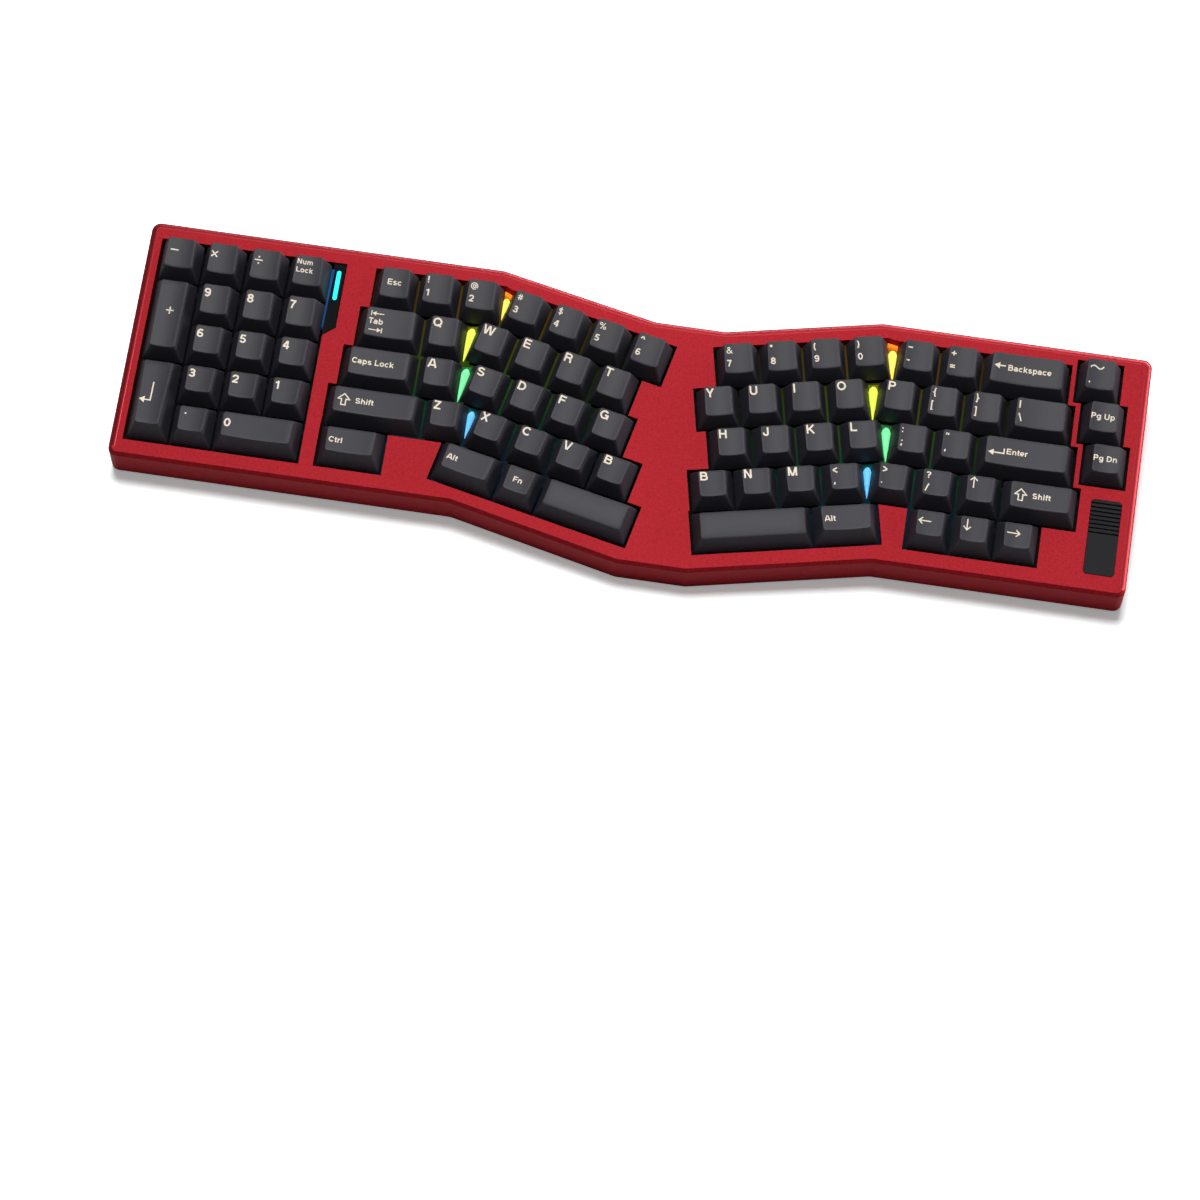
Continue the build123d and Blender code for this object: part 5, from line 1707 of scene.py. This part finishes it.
@dataclass
class SplitLights:
    """Acrylic wedges between the straight and the turned blocks, each with a bright ridge.

    The first fields lay out the wedges and the block behind the first of them, in millimetres, with
    heights over the deck's face. The rest shape the ridge, mostly as shares of its length, of its
    half width or of its height.
    """

    clearance: float = 0.4
    end_gap: float = 0.9
    tip: float = 0.6
    foot_top: float = -2.6
    ridge_top: float = -0.4
    floor: float = -7.6
    chamfer: float = 0.4
    chamfered_share: float = 0.9
    block_depth: float = 1.7
    block_gap: float = 0.1
    block_rise: float = 0.8
    ridge_points: int = 15
    ridge_start: float = 0.06
    ridge_share: float = 0.94
    blunt_end: float = 0.35
    opening: float = 3.0
    narrowing: float = 0.8
    least_half: float = 0.12
    rising: float = 6.0
    sinking: float = 0.7
    shoulder: float = 0.75
    rooted: float = 0.3

    def corners(self, straight: Row, turned: Row) -> np.ndarray:
        """The gap between two rows: rear and front corners on each side, clear of the caps.

        Args:
            straight: The row in the straight block.
            turned: The row beside it.

        Returns:
            Straight side rear and front, then turned side front and rear, as X, Y.
        """
        straight_end, turned_end = straight.start, turned.start
        if turned.block is Block.LEFT:
            sign = 1
            straight_end += sum(key.width for key in straight.keys)
        else:
            sign = -1
            turned_end += sum(key.width for key in turned.keys)
        sideways = sign * (self.clearance - Cap.gap / 2)
        rear = -straight.line * PITCH - self.end_gap
        front = -(straight.line + 1) * PITCH + self.end_gap
        far = [[turned_end * PITCH - sideways, y, 0.0] for y in (front, rear)]
        near = [[straight_end * PITCH + sideways, y, 0.0] for y in (rear, front)]
        return np.concatenate([np.array(near), turned.block.place(np.array(far))])[:, :2]

    def build(self) -> None:
        """Makes the eight wedges and the two blocks behind them."""
        blocks = Shells()
        for side, straight_rows, turned_rows in (
            ("left", LEFT_ROWS, LEFT_TURNED_ROWS),
            ("right", RIGHT_ROWS, RIGHT_TURNED_ROWS),
        ):
            wedges = Shells()
            finishes: list[Finish] = []
            for i, (colour, straight, turned) in enumerate(zip(SplitLight, straight_rows, turned_rows)):
                near, near_front, far_front, far = self.corners(straight, turned)
                if side == "right":
                    near, near_front, far_front, far = far, far_front, near_front, near
                # Where the gap would close, the wedge ends as soon as it is as thin as its tip
                wide, thin = far[0] - near[0], far_front[0] - near_front[0]
                share = min(1.0, (wide - self.tip) / (wide - thin))
                near_front = near + (near_front - near) * share
                far_front = far + (far_front - far) * share
                if i == 0:
                    # The first wedge gives up its rear end to the block
                    length = self.block_depth / abs(near_front[1] - near[1])
                    gap = (self.block_depth + self.block_gap) / abs(near_front[1] - near[1])
                    cut, far_cut = near + (near_front - near) * length, far + (far_front - far) * length
                    face = [near, cut, far_cut, far]
                    blocks.add(*self.chamfered(np.array(face), self.foot_top + self.block_rise))
                    near = near + (near_front - near) * gap
                    far = far + (far_front - far) * gap
                face = np.array([near, near_front, far_front, far])
                wedges.add(*self.chamfered(face, self.foot_top), 2 * i)
                wedges.add(*self.ridge(face), 2 * i + 1)
                finishes += [colour.foot(), colour.ridge()]
            solids = [f"light_wedges_{side}"]
            wedges.piece(f"split_lights_{side}", "case", "light_wedges", finishes, solids, sharp=20.0)
        solids = ["light_blocks"]
        blocks.piece("split_light_blocks", "case", "light_orange", [LAMP_ORANGE], solids, sharp=20.0)

    def chamfered(self, face: np.ndarray, top: float) -> Shell:
        """A prism on a four-sided outline, its upper edge drawn in a little.

        Args:
            face: The outline's corners, anticlockwise.
            top: Height of its top.

        Returns:
            Points and faces of a closed shell.
        """
        middle = face.mean(axis=0)
        inner = middle + (face - middle) * self.chamfered_share
        rings = [(face, self.floor), (face, top - self.chamfer), (inner, top)]
        points = np.concatenate([np.column_stack([ring, np.full(len(face), z)]) for ring, z in rings])
        return points, capped(len(rings), len(face))

    def ridge(self, face: np.ndarray) -> Shell:
        """The bright ridge: a long cut drop, round at its wide rear end, running to a point.

        With s as the share of its length, its half width is the lesser of 1 and the blunt end plus
        the root of s times the opening, times 1 - s to the power of the narrowing. Its height is
        the lesser of 1 and the root of s times the rising, times 1 less s times the sinking.

        Args:
            face: The wedge's outline, rear corners first and last.

        Returns:
            Points and faces of a closed shell.
        """
        rear, front = (face[0] + face[3]) / 2, (face[1] + face[2]) / 2
        wide = np.linalg.norm(face[3] - face[0]) * self.ridge_share / 2
        share = np.linspace(0.0, 1.0, self.ridge_points)
        start = rear + (front - rear) * self.ridge_start
        line = start + (front - start) * share[:, None]
        opened = np.minimum(self.blunt_end + np.sqrt(share * self.opening), 1.0)
        half = wide * opened * (1 - share) ** self.narrowing + self.least_half
        risen = np.minimum(np.sqrt(share * self.rising), 1.0) * (1 - self.sinking * share)
        rise = (self.ridge_top - self.foot_top) * risen
        along = (front - rear) / np.linalg.norm(front - rear)
        across = np.array([-along[1], along[0]])
        left, right = line + across * half[:, None], line - across * half[:, None]
        low = np.full(len(share), self.foot_top - self.rooted)
        shoulder = self.foot_top + rise * self.shoulder
        section = (
            (right, low),
            (left, low),
            ((line + left) / 2, shoulder),
            (line, self.foot_top + rise),
            ((line + right) / 2, shoulder),
        )
        tube = np.stack([np.column_stack(corner) for corner in section], axis=1)
        return tube.reshape(-1, 3), capped(len(share), len(section))


@dataclass
class Indicator:
    """The pill-shaped lamp in the cover beside the numpad, and the lit strip along the cover.

    The strip's right side and its ends are given at the rear and at the front. The lamp's rim is
    rounded in two flats, the upper one's lower edge a shoulder in and a shoulder down.
    """

    strip_left: float = 75.85
    strip_right: tuple[float, float] = (77.1, 76.5)
    strip_ends: tuple[float, float] = (-2.4, -30.6)
    strip_top: float = -0.76
    strip_bottom: float = -3.8
    middle: tuple[float, float] = (79.2, -9.7)
    length: float = 14.2
    width: float = 2.0
    gap: float = 0.06
    top: float = -0.65
    bottom: float = -1.8
    rim: float = 0.3
    shoulder: float = 0.09
    end_points: int = 13

    def build(self) -> None:
        """Makes the lamp: a stadium outline carried up, its rim drawn in as it rises."""
        ends = [np.linspace(0, 180, self.end_points), np.linspace(180, 360, self.end_points)]
        turn = np.radians(np.concatenate(ends))
        shift = np.repeat([1.0, -1.0], self.end_points) * (self.length - self.width) / 2
        levels = [
            (0.0, self.bottom),
            (0.0, self.top - self.rim),
            (self.shoulder, self.top - self.shoulder),
            (self.rim, self.top),
        ]
        rings = []
        for inset, height in levels:
            radius = self.width / 2 - self.gap - inset
            x = self.middle[0] + radius * np.cos(turn)
            y = self.middle[1] + shift + radius * np.sin(turn)
            rings.append(np.column_stack([x, y, np.full(len(turn), height)]))
        lamp = Shells()
        lamp.add(np.concatenate(rings), capped(len(rings), len(turn)))
        lamp.piece("indicator_lamp", "case", "light_cyan", [LAMP_CYAN], ["indicator_light_bar"], sharp=50.0)
        self.strip()

    def strip(self) -> None:
        """Makes the lit strip: a slab over the cover's edge that narrows to the front."""
        rear, front = self.strip_ends
        wide, thin = self.strip_right
        outline = [[self.strip_left, front], [thin, front], [wide, rear], [self.strip_left, rear]]
        slab = Shells()
        slab.add(*prism(np.array(outline), self.strip_bottom, self.strip_top))
        slab.piece("indicator_strip", "case", "light_blue", [LAMP_BLUE], ["indicator_edge_strip"])


@dataclass
class Inside:
    """Solids that keep their own mesh and only get their finish."""

    def build(self) -> None:
        """Dresses the inner parts."""
        plain: dict[str, Finish] = {
            "switch_plate": PaintedGlowPlate("black_plate_painted_lamp_glow", DECK.origin),
            "circuit_board": SOLDER_MASK,
            "connector_board": SOLDER_MASK,
            "board_foam": FOAM,
            "gasket_strips": RUBBER,
            "switch_housings": NYLON,
            "stabiliser_housings": NYLON,
            "usb_c_receptacle": STAINLESS,
            "case_screws": BLACK_OXIDE,
        }
        for node, finish in plain.items():
            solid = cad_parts[node]
            solid.data.materials.clear()
            solid.data.materials.append(finish.material())
            log.info("%s keeps its mesh and wears %s", node, finish.name)


@dataclass
class Studio:
    """Pale floor, a large lamp overhead to the rear, low rim lamps, and soft fill all round.

    The floor's size is in metres and the powers are in watts.
    """

    floor_size: float = 1.5
    key_power: float = 46.0
    fill_power: float = 0.5
    rim_power: float = 10.0
    corner_power: float = 14.0
    world_level: float = 0.05

    def build(self) -> None:
        """Sets up the floor, the lamps and the surroundings."""
        half = self.floor_size / 2
        mesh = bpy.data.meshes.new("studio_floor")
        corners = [(-half, -half, 0), (half, -half, 0), (half, half, 0), (-half, half, 0)]
        mesh.from_pydata(corners, [], [(0, 1, 2, 3)])
        mesh.materials.append(PAPER.material())
        floor = add_object("studio_floor", mesh)
        self.lamp("overhead_softbox", place=(-0.13, 0.45, 2.4), size=(0.95, 0.9), power=self.key_power)
        self.lamp("front_fill", place=(-1.0, -1.2, 1.6), size=(1.2, 1.2), power=self.fill_power)
        # The low lamps draw the edges and leave the floor alone, as flags before them would
        flagged = bpy.data.collections.new("flagged_from_low_lamps")
        flagged.objects.link(floor)
        flagged.collection_objects[0].light_linking.link_state = "EXCLUDE"
        for name, place, size, power in (
            ("rear_rim_strip", (0.4, 1.6, 0.5), (1.6, 0.25), self.rim_power),
            ("right_rim_strip", (1.6, 0.2, 0.5), (1.2, 0.25), self.rim_power),
            ("rear_corner_strip", (1.25, 1.35, 0.45), (1.0, 0.5), self.corner_power),
        ):
            self.lamp(name, place, size, power, flagged)
        world = bpy.data.worlds.new("studio_surroundings")
        bpy.context.scene.world = world
        world.use_nodes = True
        tree = world.node_tree
        tree.nodes.clear()
        seen = seen_directly(tree)
        paper = linear("ffffff")
        grey = add_node(tree, "ShaderNodeBackground", {"Color": paper, "Strength": self.world_level})
        white = add_node(tree, "ShaderNodeBackground", {"Color": paper, "Strength": 1.0})
        mixed = add_node(tree, "ShaderNodeMixShader", {0: seen, 1: grey.outputs[0], 2: white.outputs[0]})
        add_node(tree, "ShaderNodeOutputWorld", {"Surface": mixed.outputs[0]})
        log.info("studio built")

    def lamp(
        self,
        name: str,
        place: tuple[float, float, float],
        size: tuple[float, float],
        power: float,
        flagged: bpy.types.Collection | None = None,
    ) -> None:
        """A rectangular soft lamp that faces the keyboard.

        Args:
            name: Its name.
            place: Where it hangs, in metres.
            size: Its width and height.
            power: Its power in watts.
            flagged: What it doesn't light, if there is anything.
        """
        light = bpy.data.lights.new(name, "AREA")
        light.shape = "RECTANGLE"
        light.size, light.size_y = size
        light.energy = power
        lamp = add_object(name, light)
        lamp.light_linking.receiver_collection = flagged
        aim = np.array(place) / np.linalg.norm(place)
        tilt = math.acos(aim[2])
        lamp.location = place
        lamp.rotation_euler = (tilt, 0.0, math.atan2(aim[1], aim[0]) + math.pi / 2)


@dataclass
class PhotoCamera:
    """The camera where the photographer's stood: two metres away, high above the front edge.

    Its place and the farthest that it sees are metres, its turn degrees, and its lens millimetres.
    """

    place: tuple[float, float, float] = (0.097079, -0.987345, 1.793823)
    turn: tuple[float, float, float] = (27.05084, -1.19805, 8.50392)
    lens: float = 139.246
    sensor: float = 36.0
    farthest: float = 20.0

    def build(self) -> None:
        """Makes it the scene's camera."""
        data = bpy.data.cameras.new("photo_camera")
        data.lens = self.lens
        data.sensor_width = self.sensor
        data.clip_end = self.farthest
        camera = add_object("photo_camera", data)
        camera.location = self.place
        camera.rotation_euler = [math.radians(angle) for angle in self.turn]
        bpy.context.scene.camera = camera
        bpy.context.scene.view_settings.view_transform = "Standard"
        log.info("camera placed")


def main() -> None:
    """Builds every part of the picture in order and notes the sizes."""
    logging.basicConfig(level=logging.INFO, format="%(message)s")
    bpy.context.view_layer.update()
    PhotoCamera().build()
    Inside().build()
    Machined().build()
    Keyboard().build()
    SplitLights().build()
    Indicator().build()
    Studio().build()


if __name__ == "__main__":
    main()
